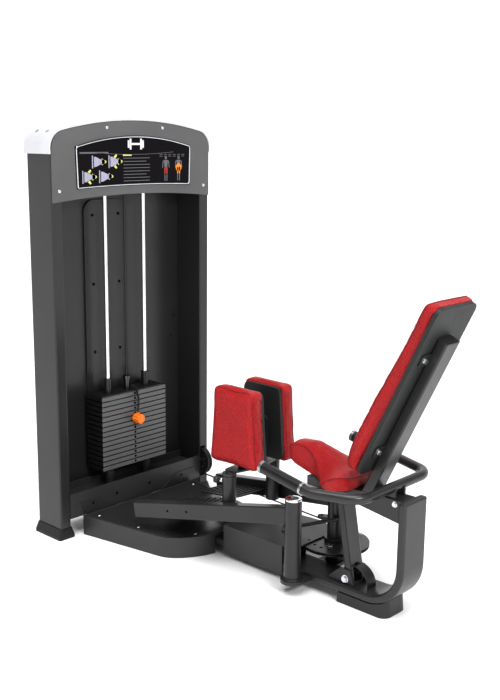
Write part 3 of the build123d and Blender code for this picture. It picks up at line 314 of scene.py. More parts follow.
def pebbles(made):
    """Cells a few millimetres across with wandering walls: the distance from the nearest wall."""
    cells = made.node("ShaderNodeTexVoronoi", Scale=205.0, feature="DISTANCE_TO_EDGE")
    warp = made.node("ShaderNodeVectorMath", operation="ADD")
    wander = made.node("ShaderNodeVectorMath", operation="SCALE", Scale=0.0035)
    drift = made.node("ShaderNodeTexNoise", Scale=120.0)
    made.link(made.place, drift.inputs["Vector"])
    made.link(drift.outputs["Color"], wander.inputs[0])
    made.link(made.place, warp.inputs[0])
    made.link(wander.outputs["Vector"], warp.inputs[1])
    made.link(warp.outputs["Vector"], cells.inputs["Vector"])
    return cells.outputs["Distance"]


def vinyl_crease_shade_and_drift(made, crease):
    """Painted shade: the creases between the pebbles are darkened to 0.42 of the colour, with a slow drift of
    tone over the whole cover.
    """
    low = tuple(channel * 0.42 for channel in made.colour)
    # Painted shade in the creases, put into the base colour.
    crease_shade = made.ramp(crease, [(0.0, low), (0.75, made.colour)])
    patch = made.ramp(made.noise(7.0, 3.0), [(0.3, (0.92, 0.90, 0.90)), (0.7, (1.0, 1.0, 1.0))])
    mix = made.node("ShaderNodeMix", data_type="RGBA", blend_type="MULTIPLY")
    mix.inputs["Factor"].default_value = 1.0
    made.link(crease_shade, mix.inputs["A"])
    made.link(patch, mix.inputs["B"])
    made.link(mix.outputs["Result"], made.surface.inputs["Base Color"])


def vinyl(name, colour, roughness):
    """Grained upholstery vinyl: rounded pebbles with fine creases between, which are rougher and darkened
    with painted shade.
    """
    made = Shader(name, colour, roughness, IOR=1.48, Specular_IOR_Level=0.32, Sheen_Weight=0.05,
                  Sheen_Roughness=0.5, Coat_Weight=0.15, Coat_Roughness=0.28)
    made.surface.inputs["Sheen Tint"].default_value = (1.0, 0.6, 0.6, 1.0)
    crease = made.node("ShaderNodeMapRange")
    crease.inputs["From Max"].default_value = 0.28
    made.link(pebbles(made), crease.inputs["Value"])
    # Darkens the creases with painted shade; the slow drift is the vinyl's own tone.
    vinyl_crease_shade_and_drift(made, crease.outputs["Result"])
    made.bump(crease.outputs["Result"], 0.85, 0.0018)
    made.grain(900.0, 0.20, 0.0004)
    rough = made.node("ShaderNodeMapRange")
    rough.inputs["To Min"].default_value = roughness + 0.18
    rough.inputs["To Max"].default_value = roughness
    made.link(crease.outputs["Result"], rough.inputs["Value"])
    made.link(rough.outputs["Result"], made.surface.inputs["Roughness"])
    return made.material


def sheathed_cable(name):
    """Black nylon sheath in which the strands of the cable can just be made out."""
    made = Shader(name, (0.016, 0.016, 0.017), 0.35)
    made.speckle(40.0, 0.15)
    wave = made.node("ShaderNodeTexWave", Scale=180.0, Distortion=0.4, bands_direction="DIAGONAL")
    made.link(made.place, wave.inputs["Vector"])
    return made.bump(wave.outputs["Fac"], 0.3, 0.0004).material


def ply_board(name):
    """Dark stained plywood with its fibres along one way."""
    made = Shader(name, (0.035, 0.030, 0.026), 0.65)
    fibre = made.noise(60.0, 4.0, (6.0, 1.0, 1.0))
    made.link(made.ramp(fibre, [(0.3, (0.025, 0.022, 0.02)), (0.7, (0.05, 0.043, 0.036))]),
              made.surface.inputs["Base Color"])
    return made.bump(fibre, 0.2, 0.0004).material


def make_materials():
    """One material for each slot of the record."""
    return {
        "frame_paint": painted("graphite_paint", (0.025, 0.025, 0.026), 0.30),
        "panel_paint": painted("grey_paint", (0.105, 0.105, 0.107), 0.42),
        "cap_plastic": moulded("silver_moulding", (0.62, 0.63, 0.65), 0.20, 300.0, 0.03),
        "black_plastic": moulded("black_moulding", (0.024, 0.024, 0.025), 0.38),
        "tread_plastic": moulded("tread_moulding", (0.030, 0.029, 0.029), 0.18, 240.0, 0.04),
        "board_plastic": moulded("board_facing", (0.020, 0.021, 0.021), 0.55, 500.0, 0.35),
        "pan_wood": ply_board("stained_plywood"),
        "placard_print": moulded("placard_face", (0.006, 0.005, 0.007), 0.60, 200.0, 0.02, 0.12),
        "bright_steel": metal("chrome", (0.80, 0.81, 0.83), 0.09, (1.0, 1.0, 0.05)),
        "bolt_steel": metal("zinc_bolt", (0.72, 0.73, 0.76), 0.22),
        "black_rubber": moulded("rubber", (0.022, 0.022, 0.023), 0.70, 380.0, 0.5),
        "lanyard_cord": moulded("cord_plastic", (0.012, 0.012, 0.013), 0.35, 500.0, 0.1),
        "plate_iron": painted("plate_enamel", (0.010, 0.010, 0.010), 0.5, 0.0008),
        "cable_sheath": sheathed_cable("cable_sheath"),
        "pulley_nylon": moulded("nylon", (0.022, 0.022, 0.024), 0.38),
        "red_vinyl": vinyl("red_vinyl", (0.56, 0.010, 0.014), 0.34),
        "orange_plastic": moulded("orange_moulding", (0.95, 0.22, 0.012), 0.28, 300.0, 0.05),
    }


def extra_materials():
    """Materials of single nodes, and of the pieces that only the visual model has."""
    made = {
        "welt": vinyl("red_welt", (0.30, 0.008, 0.012), 0.34),
        "plug_grey": moulded("plug_grey", (0.28, 0.29, 0.31), 0.35),
        "shoe_rubber": moulded("shoe_rubber", (0.010, 0.010, 0.010), 0.45),
        "cover_moulding": moulded("cover_moulding", (0.036, 0.036, 0.037), 0.33, 420.0, 0.12),
        "guard_paint": painted("guard_paint", (0.040, 0.040, 0.041), 0.42),
        "channel_paint": painted("channel_paint", (0.040, 0.040, 0.041), 0.38),
        "stem_finish": metal("stem_finish", (0.10, 0.10, 0.105), 0.30),
        "bushing_nylon": moulded("bushing_nylon", (0.020, 0.020, 0.021), 0.24, 300.0, 0.05),
        "buffer_rubber": moulded("buffer_rubber", (0.035, 0.035, 0.036), 0.45),
        "ring_steel": metal("ring_steel", (0.42, 0.42, 0.44), 0.25),
        "grip_foam": moulded("grip_foam", (0.013, 0.013, 0.014), 0.30, 420.0, 0.15),
        # Paler grey for the plates' fronts: a painted reflection, not a finish of the plates.
        "plate_front": painted("plate_front", (0.115, 0.115, 0.117), 0.45, 0.0008),
        "black_screw": metal("black_screw", (0.012, 0.012, 0.013), 0.45),
    }
    for name, colour in INKS.items():
        made[name] = Shader(name, colour, 0.35).speckle(120.0, 0.06).grain(900.0, 0.05, 0.0001).material
    return made


NODE_FINISHES = {
    "tower_foot_caps": "shoe_rubber",
    "base_cover": "cover_moulding",
    "centre_box": "guard_paint",
    "selector_stem": "stem_finish",
    "guide_bushings": "bushing_nylon",
    "stack_buffers": "buffer_rubber",
    "base_channel": "channel_paint",
    "grip_rings": "ring_steel",
    "hand_grips": "grip_foam",
}


def dress_cad_nodes(materials):
    """Gives each carried-over CAD node its procedural material."""
    for part in RECORD["subparts"]:
        finish = NODE_FINISHES.get(part["node"], part["material_slot"])
        slots = NODES[part["node"]].data.materials
        for index in range(len(slots)):
            slots[index] = materials[finish]
    blacken_bay_screws(materials["black_screw"])
    # Painted reflection: the plates' faces towards -Y get the paler grey.
    for node in ("top_plate", "weight_plates_lifted", "weight_plates_resting"):
        bare_plate_fronts(node, materials["plate_front"])


def bare_plate_fronts(node, finish):
    """Painted reflection: the plates' faces towards -Y are given a paler grey than their black tops and ends,
    standing in for the sheen that the light puts on them.
    """
    mesh = NODES[node].data
    mesh.materials.append(finish)
    for face in mesh.polygons:
        if face.normal.y < -0.7:
            face.material_index = len(mesh.materials) - 1


def blacken_bay_screws(finish):
    """The screws inside the bay are black; those of the head panel stay bright."""
    mesh = NODES["panel_screws"].data
    mesh.materials.append(finish)
    behind_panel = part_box("head_panel")[1].y + 0.03
    for face in mesh.polygons:
        if face.center.y > behind_panel:
            face.material_index = len(mesh.materials) - 1


# ---------------------------------------------------------------- mesh helpers
def new_piece(name, mesh, material, body):
    """Links a finished mesh with its material, and attaches it to body when one is given."""
    piece = bpy.data.objects.new(name, mesh)
    SCENE.collection.objects.link(piece)
    mesh.materials.clear()
    mesh.materials.append(material)
    if body:
        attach(piece, body)
    return piece


def mesh_from(name, work, smooth=True):
    mesh = bpy.data.meshes.new(name)
    bmesh.ops.recalc_face_normals(work, faces=work.faces)
    work.to_mesh(mesh)
    work.free()
    for face in mesh.polygons:
        face.use_smooth = smooth
    return mesh


def tube_rings(work, points, radius, sides, closed, swell):
    """Rings of vertices square to the line, each turned as little as possible from the one before."""
    count = len(points)
    rings = []
    side = None
    for index, point in enumerate(points):
        before = points[index - 1] if index or closed else point
        after = points[(index + 1) % count] if index < count - 1 or closed else point
        along = (after - before).normalized()
        if side is None:
            side = along.orthogonal().normalized()
        side = (side - along * side.dot(along)).normalized()
        size = radius * (swell(index) if swell else 1.0)
        circle = circle_round(point, side, along.cross(side), size, sides)
        rings.append([work.verts.new(place) for place in circle])
    return rings


def circle_round(centre, side, other, radius, steps):
    """Points of a circle in the plane of two unit vectors that are square to each other."""
    turns = [2 * math.pi * step / steps for step in range(steps)]
    return [Vector(centre) + (side * math.cos(turn) + other * math.sin(turn)) * radius for turn in turns]


def ring(centre, radius, axis=(0, 0, 1), steps=72):
    """Points of a circle square to axis."""
    axis = Vector(axis).normalized()
    side = axis.orthogonal().normalized()
    return circle_round(centre, side, axis.cross(side), radius, steps)


def join_rings(work, first, second, shift=0):
    """Faces between two rings; shift says which vertex of the second meets the first's own first."""
    sides = len(first)
    for step in range(sides):
        after = (step + 1) % sides
        work.faces.new((first[step], first[after], second[(after + shift) % sides],
                        second[(step + shift) % sides]))


def close_ends(work, rings):
    work.faces.new(list(reversed(rings[0])))
    work.faces.new(rings[-1])


def tube_into(work, points, radius, sides, closed=False, swell=None):
    """Adds a tube along points to a bmesh; swell(index) scales its radius."""
    rings = tube_rings(work, points, radius, sides, closed, swell)
    for first, second in zip(rings, rings[1:]):
        join_rings(work, first, second)
    if closed:
        gaps = [(rings[-1][0].co - vertex.co).length for vertex in rings[0]]
        join_rings(work, rings[-1], rings[0], gaps.index(min(gaps)))
    else:
        close_ends(work, rings)


def plate_into(work, outline, y, thick):
    """Adds a thin plate whose outline is in XZ, with its back at y and its face towards -Y."""
    back = [work.verts.new((x, y, z)) for x, z in outline]
    front = [work.verts.new((x, y - thick, z)) for x, z in outline]
    work.faces.new(back)
    work.faces.new(list(reversed(front)))
    count = len(outline)
    for index in range(count):
        after = (index + 1) % count
        work.faces.new((back[index], back[after], front[after], front[index]))


def turned_into(work, profile, base, axis):
    """Adds a lathe-turned shape: profile is (distance along axis, radius) from base."""
    axis = Vector(axis).normalized()
    rings = []
    for along, radius in profile:
        circle = ring(Vector(base) + axis * along, radius, axis, TURNED_SIDES)
        rings.append([work.verts.new(place) for place in circle])
    for first, second in zip(rings, rings[1:]):
        join_rings(work, first, second)
    close_ends(work, rings)


def turned_piece(name, profile, places, finish, body):
    """One piece with the same turned shape at every (base, axis) of places."""
    work = bmesh.new()
    for base, axis in places:
        turned_into(work, profile, base, axis)
    new_piece(name, mesh_from(name, work), MATERIALS[finish], body)


def smooth_closed(points, rounds):
    """Each point of a closed line moved halfway towards the middle of its neighbours, again and again."""
    for _ in range(rounds):
        points = [(points[index - 1] + points[index] * 2 + points[(index + 1) % len(points)]) / 4
                  for index in range(len(points))]
    return points


def even_closed(points, spacing):
    """Points spread evenly along a closed line."""
    lengths = [(points[(index + 1) % len(points)] - points[index]).length for index in range(len(points))]
    total = sum(lengths)
    count = max(int(total / spacing), 12)
    result = []
    index = 0
    start = 0.0
    for step in range(count):
        goal = total * step / count
        while start + lengths[index] < goal and index < len(points) - 1:
            start += lengths[index]
            index += 1
        share = (goal - start) / max(lengths[index], 1e-9)
        result.append(points[index].lerp(points[(index + 1) % len(points)], min(share, 1.0)))
    return result


# ---------------------------------------------------------------- cushions
def evaluated_copy(piece):
    graph = bpy.context.evaluated_depsgraph_get()
    return bpy.data.meshes.new_from_object(piece.evaluated_get(graph), depsgraph=graph)


def remeshed(node, name):
    """A new object with a CAD node's shape in even, small faces."""
    mesh = NODES[node].data.copy()
    piece = bpy.data.objects.new(name, mesh)
    SCENE.collection.objects.link(piece)
    modifier = piece.modifiers.new("voxels", "REMESH")
    modifier.mode = "VOXEL"
    modifier.voxel_size = SOFT_VOXEL
    fresh = evaluated_copy(piece)
    piece.modifiers.clear()
    piece.data = fresh
    fresh.name = name
    return piece


def inflate(piece):
    """Swells the cover with cloth pressure and returns where its points end."""
    modifier = piece.modifiers.new("cover", "CLOTH")
    settings = modifier.settings
    settings.use_pressure = True
    settings.uniform_pressure_force = CLOTH_PRESSURE
    settings.tension_stiffness = 25.0
    settings.compression_stiffness = 25.0
    settings.shear_stiffness = 12.0
    settings.bending_stiffness = 4.0
    settings.mass = 0.25
    settings.quality = 5
    settings.effector_weights.gravity = 0.0
    modifier.point_cache.frame_start = 1
    modifier.point_cache.frame_end = SIM_FRAMES
    for step in range(1, SIM_FRAMES + 1):
        SCENE.frame_set(step)
    swollen = evaluated_copy(piece)
    places = [vertex.co.copy() for vertex in swollen.vertices]
    bpy.data.meshes.remove(swollen)
    piece.modifiers.clear()
    SCENE.frame_set(1)
    return places


def sunk_places(mesh, sunk, normal, level):
    """Where the cover's points start: sunk under its skin, but no further into the board."""
    places = []
    for vertex in mesh.vertices:
        inward = vertex.normal * sunk
        if vertex.co.dot(normal) < level + ON_BOARD:
            inward = inward - normal * inward.dot(normal)
        places.append(vertex.co - inward)
    return places


def settled(start, end, limit, normal, level):
    """A swollen point, kept within limit of its start and clear of the board."""
    move = end - start
    if move.length > limit:
        move = move.normalized() * limit
    target = start + move
    below = level + BOARD_GAP - target.dot(normal)
    if below > 0:
        target = target + normal * below
    return target


def smooth_above_board(mesh, normal, level):
    """Evens out the cover where it is free of its board."""
    work = bmesh.new()
    work.from_mesh(mesh)
    free = [vertex for vertex in work.verts if vertex.co.dot(normal) > level + OFF_BOARD]
    for _ in range(3):
        bmesh.ops.smooth_vert(work, verts=free, factor=0.5, use_axis_x=True, use_axis_y=True, use_axis_z=True)
    work.to_mesh(mesh)
    work.free()
    for face in mesh.polygons:
        face.use_smooth = True


def subdivide(piece):
    """Makes the cover's mesh one subdivision finer."""
    modifier = piece.modifiers.new("fine", "SUBSURF")
    modifier.levels = 1
    modifier.render_levels = 1
    piece.data = evaluated_copy(piece)
    piece.modifiers.clear()


def cushion(node, body, sunk, limit, flat_point, flat_normal):
    """Upholstered pad made from a CAD solid: remeshed, swollen with cloth pressure, and flat on its board."""
    piece = remeshed(node, node + "_cover")
    mesh = piece.data
    normal = Vector(flat_normal)
    level = Vector(flat_point).dot(normal)
    starts = sunk_places(mesh, sunk, normal, level)
    for vertex, start in zip(mesh.vertices, starts):
        vertex.co = start
    ends = inflate(piece)
    for vertex, start, end in zip(mesh.vertices, starts, ends):
        vertex.co = settled(start, end, limit, normal, level)
    smooth_above_board(mesh, normal, level)
    subdivide(piece)
    piece.data.materials.clear()
    piece.data.materials.append(MATERIALS["red_vinyl"])
    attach(piece, body)
    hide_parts(node)
    return piece


def surface_of(piece):
    graph = bpy.context.evaluated_depsgraph_get()
    return BVHTree.FromObject(piece, graph)


def piping(piece, name, body, points, radius):
    """Sewn welt that lies partly sunk in the cover along a closed line."""
    tree = surface_of(piece)
    line = []
    for point in points:
        place, normal, _, _ = tree.find_nearest(point)
        line.append(place + normal * radius * 0.25)
    line = even_closed(smooth_closed(line, 3), 0.005)
    work = bmesh.new()
    tube_into(work, line, radius, 8, closed=True)
    new_piece(name, mesh_from(name, work), MATERIALS["welt"], body)


def ring_line(piece, centre, normal, spread):
    """The closed line where a plane through centre cuts the cover, found from outside inwards."""
    tree = surface_of(piece)
    line = []
    for start in ring(centre, spread, normal, 120):
        inward = (Vector(centre) - start).normalized()
        hit = tree.ray_cast(start, inward)[0]
        if hit is not None:
            line.append(hit)
    return line


def crisp_edges(node, keep):
    """Which places a CAD node's crisp edges join, where keep() accepts the normals of an edge's two faces."""
    work = bmesh.new()
    work.from_mesh(NODES[node].data)
    bmesh.ops.remove_doubles(work, verts=work.verts, dist=2e-5)
    bmesh.ops.recalc_face_normals(work, faces=work.faces)
    links = {}
    for edge in work.edges:
        if len(edge.link_faces) != 2 or edge.calc_face_angle(0.0) < CRISP_ANGLE:
            continue
        first, second = edge.link_faces
        if keep(first.normal, second.normal):
            a, b = (tuple(round(value, 5) for value in vertex.co) for vertex in edge.verts)
            links.setdefault(a, []).append(b)
            links.setdefault(b, []).append(a)
    work.free()
    return links


def longest_chain(links):
    """The longest run of linked places, each followed to the first of its neighbours not yet used."""
    best = []
    left = set(links)
    while left:
        chain = [left.pop()]
        ahead = [place for place in links[chain[-1]] if place in left]
        while ahead:
            chain.append(ahead[0])
            left.discard(ahead[0])
            ahead = [place for place in links[chain[-1]] if place in left]
        if len(chain) > len(best):
            best = chain
    return [Vector(place) for place in best]


def edge_piping(piece, name, node, keep):
    """Piping along the longest run of the CAD cushion's crisp edges that keep() accepts."""
    line = longest_chain(crisp_edges(node, keep))
    piping(piece, name, "frame", even_closed(line, 0.006), EDGE_PIPING_RADIUS)


def knee_pads():
    for side, sign in (("left", -1), ("right", 1)):
        node = side + "_pad_cushion"
        low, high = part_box(node)
        board_x = high.x if sign < 0 else low.x
        outer_x = low.x if sign < 0 else high.x
        piece = cushion(node, side + "_pad", 0.0015, 0.006, (board_x, 0, 0), (sign, 0, 0))
        middle = (low + high) / 2
        for name, x, radius in (("_pad_piping", outer_x - sign * PAD_PIPING_INSET, 0.0016),
                                ("_pad_back_seam", board_x + sign * PAD_SEAM_INSET, 0.0010)):
            line = ring_line(piece, (x, middle.y, middle.z), (1, 0, 0), 0.4)
            piping(piece, side + name, side + "_pad", line, radius)


def bell(value, middle, reach):
    """One at the middle, falling smoothly to nothing at reach."""
    share = min(abs(value - middle) / reach, 1.0)
    return (1 - share * share) ** 2


def crown_seat(piece):
    """Foam stands highest along the middle between the thigh cut-outs."""
    low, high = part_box("seat_cushion")
    middle = low.y + 0.47 * (high.y - low.y)
    across, along = SEAT_CROWN_REACH
    for vertex in piece.data.vertices:
        place = vertex.co
        over = min(max((place.z - low.z) / 0.05, 0.0), 1.0)
        vertex.co.z += SEAT_CROWN * over * bell(place.x, 0.0, across) * bell(place.y, middle, along)


def seat():
    pan_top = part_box("seat_pan")[1].z
    piece = cushion("seat_cushion", "frame", 0.002, 0.010, (0, 0, pan_top), (0, 0, 1))
    crown_seat(piece)

    def rim(a, b):
        return max(a.z, b.z) > 0.12 and min(abs(a.z), abs(b.z)) < 0.02

    edge_piping(piece, "seat_piping", "seat_cushion", rim)


def back():
    turn = math.radians(BACK_FACE_TURN)
    out = Vector((0, math.sin(turn), math.cos(turn)))
    level = max(vertex.co.dot(out) for vertex in NODES["back_board"].data.vertices)
    piece = cushion("back_cushion", "frame", 0.002, 0.010, out * level, out)

    def rim(a, b):
        return max(a.dot(out), b.dot(out)) > 0.5 and min(abs(a.dot(out)), abs(b.dot(out))) < 0.2

    edge_piping(piece, "back_piping", "back_cushion", rim)


# ---------------------------------------------------------------- lanyard
LANYARD_ROUTE = ((0.0, 0.6715, 0.4435), (0.0, 0.6715, 0.4705), (0.002, 0.6685, 0.5005),
                 (0.002, 0.6755, 0.5245), (0.001, 0.6875, 0.5535), (0.0, 0.7095, 0.5535),
                 (0.0, 0.7095, 0.5339))
LANYARD_ACROSS = 0.011
LANYARD_WIRE = 0.0017                    # radius of the wound wire
LANYARD_TURNS = 30
LANYARD_STEPS = 12                       # points in each turn
LANYARD_END_STEPS = 10                   # points over which the helix opens at an end


def spline_points(route, name):
    """Points along the smooth line that a cord's route controls."""
    curve = bpy.data.curves.new(name, "CURVE")
    curve.dimensions = "3D"
    curve.resolution_u = 24
    spline = curve.splines.new("NURBS")
    spline.points.add(len(route) - 1)
    for point, place in zip(spline.points, route):
        point.co = (*place, 1.0)
    spline.order_u = 3
    spline.use_endpoint_u = True
    guide = bpy.data.objects.new(name, curve)
    mesh = bpy.data.meshes.new_from_object(guide)
    places = [vertex.co.copy() for vertex in mesh.vertices]
    bpy.data.objects.remove(guide)
    bpy.data.meshes.remove(mesh)
    bpy.data.curves.remove(curve)
    return places


def running_lengths(path):
    lengths = [0.0]
    for first, second in zip(path, path[1:]):
        lengths.append(lengths[-1] + (second - first).length)
    return lengths


def curl_points(path, lengths):
    """A helix round the path that closes in to it at both ends."""
    steps = LANYARD_TURNS * LANYARD_STEPS
    points = []
    side = None
    index = 0
    for step in range(steps + 1):
        goal = lengths[-1] * step / steps
        while index < len(path) - 2 and lengths[index + 1] < goal:
            index += 1
        share = (goal - lengths[index]) / max(lengths[index + 1] - lengths[index], 1e-9)
        middle = path[index].lerp(path[index + 1], share)
        along = (path[index + 1] - path[index]).normalized()
        side = side or along.orthogonal().normalized()
        side = (side - along * side.dot(along)).normalized()
        turn = 2 * math.pi * step / LANYARD_STEPS
        opened = min(step / LANYARD_END_STEPS, (steps - step) / LANYARD_END_STEPS, 1.0)
        reach = (LANYARD_ACROSS / 2 - LANYARD_WIRE) * opened
        points.append(middle + (side * math.cos(turn) + along.cross(side) * math.sin(turn)) * reach)
    return points


def make_lanyard():
    """Curly cord between the knob's eye and the top plate."""
    path = spline_points(LANYARD_ROUTE, "lanyard_line")
    lengths = running_lengths(path)
    work = bmesh.new()
    tube_into(work, curl_points(path, lengths), LANYARD_WIRE, 6)
    mesh = mesh_from("lanyard_curl", work)
    piece = new_piece("lanyard_curl", mesh, MATERIALS["lanyard_cord"], None)
    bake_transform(piece)
    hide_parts("lanyard")


# ---------------------------------------------------------------- placard art
DISC_SIDES = 20
PRINT_THICK = 0.0003
PRINT_STEP = 0.00008                     # each ink stands this much proud of the one before
INKS = {
    "print_pale": (0.62, 0.62, 0.18),
    "print_grey": (0.13, 0.13, 0.14),
    "print_red": (0.42, 0.03, 0.02),
    "print_orange": (0.85, 0.25, 0.02),
    "print_white": (0.75, 0.75, 0.76),
    "print_violet": (0.36, 0.35, 0.45),
}

# Outlines in metres, as (x, z) from the middle of their drawing
SKETCH_BODY = ((-0.018, -0.019), (-0.010, -0.019), (0.020, -0.007), (0.020, 0.007), (-0.010, 0.019),
               (-0.018, 0.019))
SKETCH_SEAT = ((0.020, -0.013), (0.042, -0.003), (0.042, 0.003), (0.020, 0.013))
SKETCH_LEG = ((-0.002, 0.018), (0.010, 0.028), (0.016, 0.024), (0.008, 0.013))
FIGURE_TRUNK = ((-0.011, 0.038), (0.011, 0.038), (0.007, 0.010), (-0.007, 0.010))
FIGURE_ARM = ((0.012, 0.038), (0.017, 0.034), (0.020, 0.008), (0.016, 0.008))
FIGURE_THIGH = ((0.001, 0.009), (0.009, 0.009), (0.008, -0.018), (0.003, -0.018))
FIGURE_SHIN = ((0.003, -0.020), (0.008, -0.020), (0.007, -0.045), (0.003, -0.045))


def arc_height(x, half, edge, crest):
    """Height at x of an arc that stands at edge when x is half, and at crest in the middle."""
    rise = crest - edge
    radius = (half * half + rise * rise) / (2 * rise)
    return crest - radius + math.sqrt(max(radius * radius - x * x, 0))


def spread(start, end, count):
    return [start + (end - start) * step / (count - 1) for step in range(count)]


def disc(x, z, radius):
    turns = [2 * math.pi * step / DISC_SIDES for step in range(DISC_SIDES)]
    return [(x + radius * math.cos(turn), z + radius * math.sin(turn)) for turn in turns]


def bar(x, z, wide, tall):
    return [(x - wide / 2, z - tall / 2), (x + wide / 2, z - tall / 2), (x + wide / 2, z + tall / 2),
            (x - wide / 2, z + tall / 2)]


def shifted(outline, x, z):
    return [(x + px, z + pz) for px, pz in outline]


def mirrored(outline, across=1, up=1):
    return [(across * px, up * pz) for px, pz in outline]


def printed(name, outlines, material, y, thick):
    work = bmesh.new()
    for outline in outlines:
        plate_into(work, outline, y, thick)
    new_piece(name, mesh_from(name, work, False), MATERIALS[material], "frame")


def placard_border(face_y, half, low, high):
    """Silver rim round the placard, 4 mm inside its arched edges."""
    top = [(x, arc_height(x, half, high - 0.040, high) - 0.004)
           for x in spread(half - 0.005, -half + 0.005, 40)]
    foot = [(x, arc_height(x, half, low, low + 0.007) + 0.004)
            for x in spread(-half + 0.010, half - 0.010, 40)]
    points = [Vector((x, face_y - 0.0004, z)) for x, z in top + foot]
    work = bmesh.new()
    tube_into(work, even_closed(points, 0.008), 0.0026, 8, closed=True)
    rim = mesh_from("placard_rim", work)
    new_piece("placard_rim", rim, MATERIALS["bolt_steel"], "frame")


def sketch(x, z, opened, drawn):
    """Plain machine seen from above, with or without its sitter's legs apart."""
    drawn["print_violet"].append(shifted(SKETCH_BODY, x, z))
    drawn["print_violet"].append(bar(x - 0.025, z, 0.005, 0.048))
    drawn["print_pale"].append(shifted(SKETCH_SEAT, x, z))
    drawn["print_pale"].append(disc(x + 0.026, z, 0.0095))
    if opened:
        drawn["print_pale"].append(shifted(SKETCH_LEG, x, z))
        drawn["print_pale"].append(shifted(mirrored(reversed(SKETCH_LEG), up=-1), x, z))


def sketches(z_mid, drawn):
    """Two rows of two sketches, the upper row further right."""
    for row, column, opened in ((1, 0, False), (1, 1, True), (0, 0, True), (0, 1, False)):
        x = -0.238 + 0.080 * column + 0.047 * row
        z = z_mid - 0.018 + 0.056 * row
        sketch(x, z, opened, drawn)


def word_bars(z_mid, drawn):
    """Plain bars of uneven length where a placard has its words."""
    drawn["print_pale"].append(bar(-0.044, z_mid + 0.062, 0.044, 0.006))
    for row in range(9):
        wide = 0.136 - 0.018 * ((row * 5) % 4 == 1) - 0.012 * (row == 8)
        drawn["print_grey"].append(bar(-0.064 + wide / 2, z_mid + 0.050 - 0.0125 * row, wide, 0.0026))
    drawn["print_grey"].append(bar(-0.207, z_mid + 0.072, 0.138, 0.0060))
    for row in range(2):
        for column in range(6):
            x = 0.132 + 0.024 * column
            drawn["print_grey"].append(bar(x, z_mid + 0.062 - 0.007 * row, 0.016, 0.0022))


def curved_line(low_z, drawn):
    """Thin line across the placard, lowest in the middle."""
    line = [(x, low_z + 0.127 + 0.20 * x * x) for x in spread(-0.20, 0.20, 24)]
    drawn["print_grey"].append(line + [(x, z - 0.0016) for x, z in reversed(line)])


def figure(x, z, plain, worked, hips):
    """Small standing figure with its thighs marked, and its hips too where hips is true."""
    plain.append(disc(x, z + 0.046, 0.0055))
    plain.append(shifted(FIGURE_TRUNK, x, z))
    for side in (-1, 1):
        plain.append(shifted(mirrored(FIGURE_ARM, side), x, z))
        worked.append(shifted(mirrored(FIGURE_THIGH, side), x, z))
        plain.append(shifted(mirrored(FIGURE_SHIN, side), x, z))
    if hips:
        worked.append(disc(x, z + 0.008, 0.016))


def badge(z, outlines):
    """Plain dumbbell sign."""
    outlines.append(bar(0, z, 0.044, 0.008))
    for side in (-1, 1):
        outlines.append(bar(side * 0.027, z, 0.009, 0.042))
        outlines.append(bar(side * 0.037, z, 0.008, 0.029))


def placard_art():
    low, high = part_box("placard")
    placard_border(low.y, high.x, low.z, high.z)
    z_mid = low.z + 0.062
    drawn = {ink: [] for ink in INKS}
    sketches(z_mid, drawn)
    word_bars(z_mid, drawn)
    figure(0.158, z_mid + 0.002, drawn["print_grey"], drawn["print_red"], False)
    figure(0.228, z_mid + 0.002, drawn["print_grey"], drawn["print_orange"], True)
    curved_line(low.z, drawn)
    badge(high.z - 0.032, drawn["print_white"])
    for step, (ink, outlines) in enumerate(drawn.items()):
        printed("placard_" + ink, outlines, ink, low.y, PRINT_THICK + PRINT_STEP * step)


# ---------------------------------------------------------------- small hardware
# Turned shapes, as (distance along the axis, radius)
PLUNGER_BODY = ((0, 0.0095), (0.012, 0.0095), (0.0125, 0.0075), (0.018, 0.0075))
PLUNGER_KNOB = ((0.018, 0.008), (0.020, 0.0125), (0.030, 0.0135), (0.036, 0.0115), (0.038, 0.006))
TREAD_SCREW_HEAD = ((0, 0.0065), (0.0012, 0.0065), (0.0030, 0.0045), (0.0036, 0.002))
BUTTON_HEAD = ((0, 0.0068), (0.0022, 0.0066), (0.0040, 0.0050), (0.0046, 0.0026), (0.0026, 0.0024))
CAP_PLUG = ((-0.001, 0.0085), (0.0008, 0.0085), (0.0012, 0.007), (0.0006, 0.006))


def pull_pins():
    """Spring plunger on each pad housing."""
    for side, sign in (("left", -1), ("right", 1)):
        x, y, _ = JOINTS[side + "_pad_swivel"]["pos_m"]
        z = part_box(side + "_arm")[1].z - PLUNGER_DROP
        out = Vector((sign * PLUNGER_WAY[0], PLUNGER_WAY[1], 0)).normalized()
        place = (Vector((x, y, z)) + out * HOUSING_RADIUS, out)
        body = side + "_leg_arm"
        turned_piece(side + "_plunger_body", PLUNGER_BODY, [place], "bolt_steel", body)
        turned_piece(side + "_plunger_knob", PLUNGER_KNOB, [place], "black_plastic", body)


def tread_screws():
    """Bright screws round the tread plate, nearer together towards its narrow end."""
    low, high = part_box("base_cover_plate")
    places = []
    for across, along in TREAD_SCREWS:
        narrowed = 0.80 + 0.20 * along if along < 0.9 else 1.0
        for side in (-1, 1):
            x = side * high.x * across * narrowed
            y = low.y + (high.y - low.y) * along
            places.append(((x, y, high.z - 0.0003), (0, 0, 1)))
    turned_piece("tread_screws", TREAD_SCREW_HEAD, places, "bolt_steel", "frame")


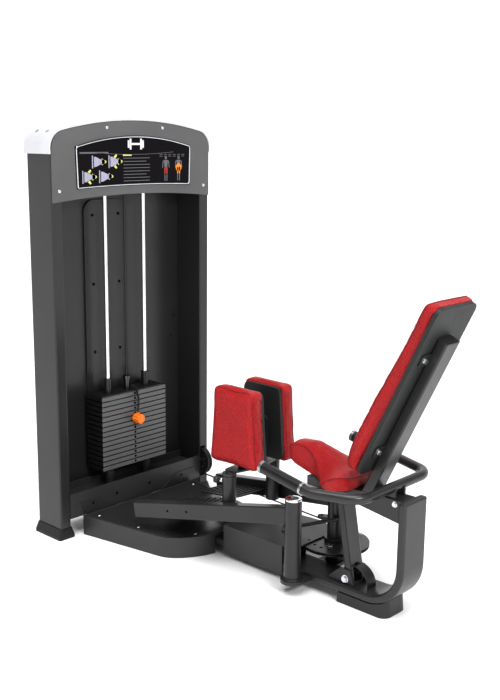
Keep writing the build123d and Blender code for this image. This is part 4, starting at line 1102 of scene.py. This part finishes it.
def channel_screws():
    """Black button heads in the front of the base channel."""
    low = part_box("base_channel")[0]
    places = [((x, low.y + 0.002, low.z + z), (0, -1, 0)) for x, z in CHANNEL_SCREWS]
    turned_piece("channel_screws", BUTTON_HEAD, places, "black_screw", "frame")


def cap_plugs():
    """Two round plugs on each shoulder of the top cap."""
    tree = BVHTree.FromObject(NODES["top_cap"], bpy.context.evaluated_depsgraph_get())
    low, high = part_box("top_cap")
    places = []
    for side in (-1, 1):
        for share in PLUG_SHARES:
            start = Vector((side * (high.x - PLUG_INSET), low.y + (high.y - low.y) * share, high.z + 0.1))
            place, normal, _, _ = tree.ray_cast(start, Vector((0, 0, -1)))
            places.append((place, normal))
    turned_piece("cap_plugs", CAP_PLUG, places, "plug_grey", "frame")


def bead(name, points, radius, body):
    """Weld bead along a closed line: a slightly lumpy tube."""
    work = bmesh.new()
    tube_into(work, even_closed(points, 0.0035), radius, 7, closed=True,
              swell=lambda index: 1.0 + 0.14 * math.sin(index * 1.9))
    new_piece(name, mesh_from(name, work), MATERIALS["frame_paint"], body)


def weld_beads():
    """Beads round the arm pivots' carriers, under the pads' housings and round the seat column's foot."""
    carrier_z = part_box("pivot_carrier")[0].z + CARRIER_WELD_RISE
    for side in ("left", "right"):
        x, y, _ = JOINTS[side + "_arm_swing"]["pos_m"]
        bead(side + "_carrier_weld", ring((x, y, carrier_z), CARRIER_WELD_RADIUS), 0.0022, "frame")
        x, y, _ = JOINTS[side + "_pad_swivel"]["pos_m"]
        housing_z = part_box(side + "_pad_post")[0].z - HOUSING_WELD_DROP
        bead(side + "_housing_cap_weld", ring((x, y, housing_z), HOUSING_RADIUS), 0.0020, side + "_leg_arm")
    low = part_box("seat_column")[0]
    half, near, far = COLUMN_FOOT
    foot = [(-half, near), (half, near), (half, far), (-half, far)]
    bead("column_weld", [Vector((x, low.y + y, low.z + 0.0006)) for x, y in foot], 0.0030, "frame")


# ---------------------------------------------------------------- the scene
make_camera()
MATERIALS = make_materials()
MATERIALS.update(extra_materials())
make_lanyard()
make_studio()
dress_cad_nodes(MATERIALS)
knee_pads()
seat()
back()
placard_art()
pull_pins()
tread_screws()
channel_screws()
cap_plugs()
weld_beads()
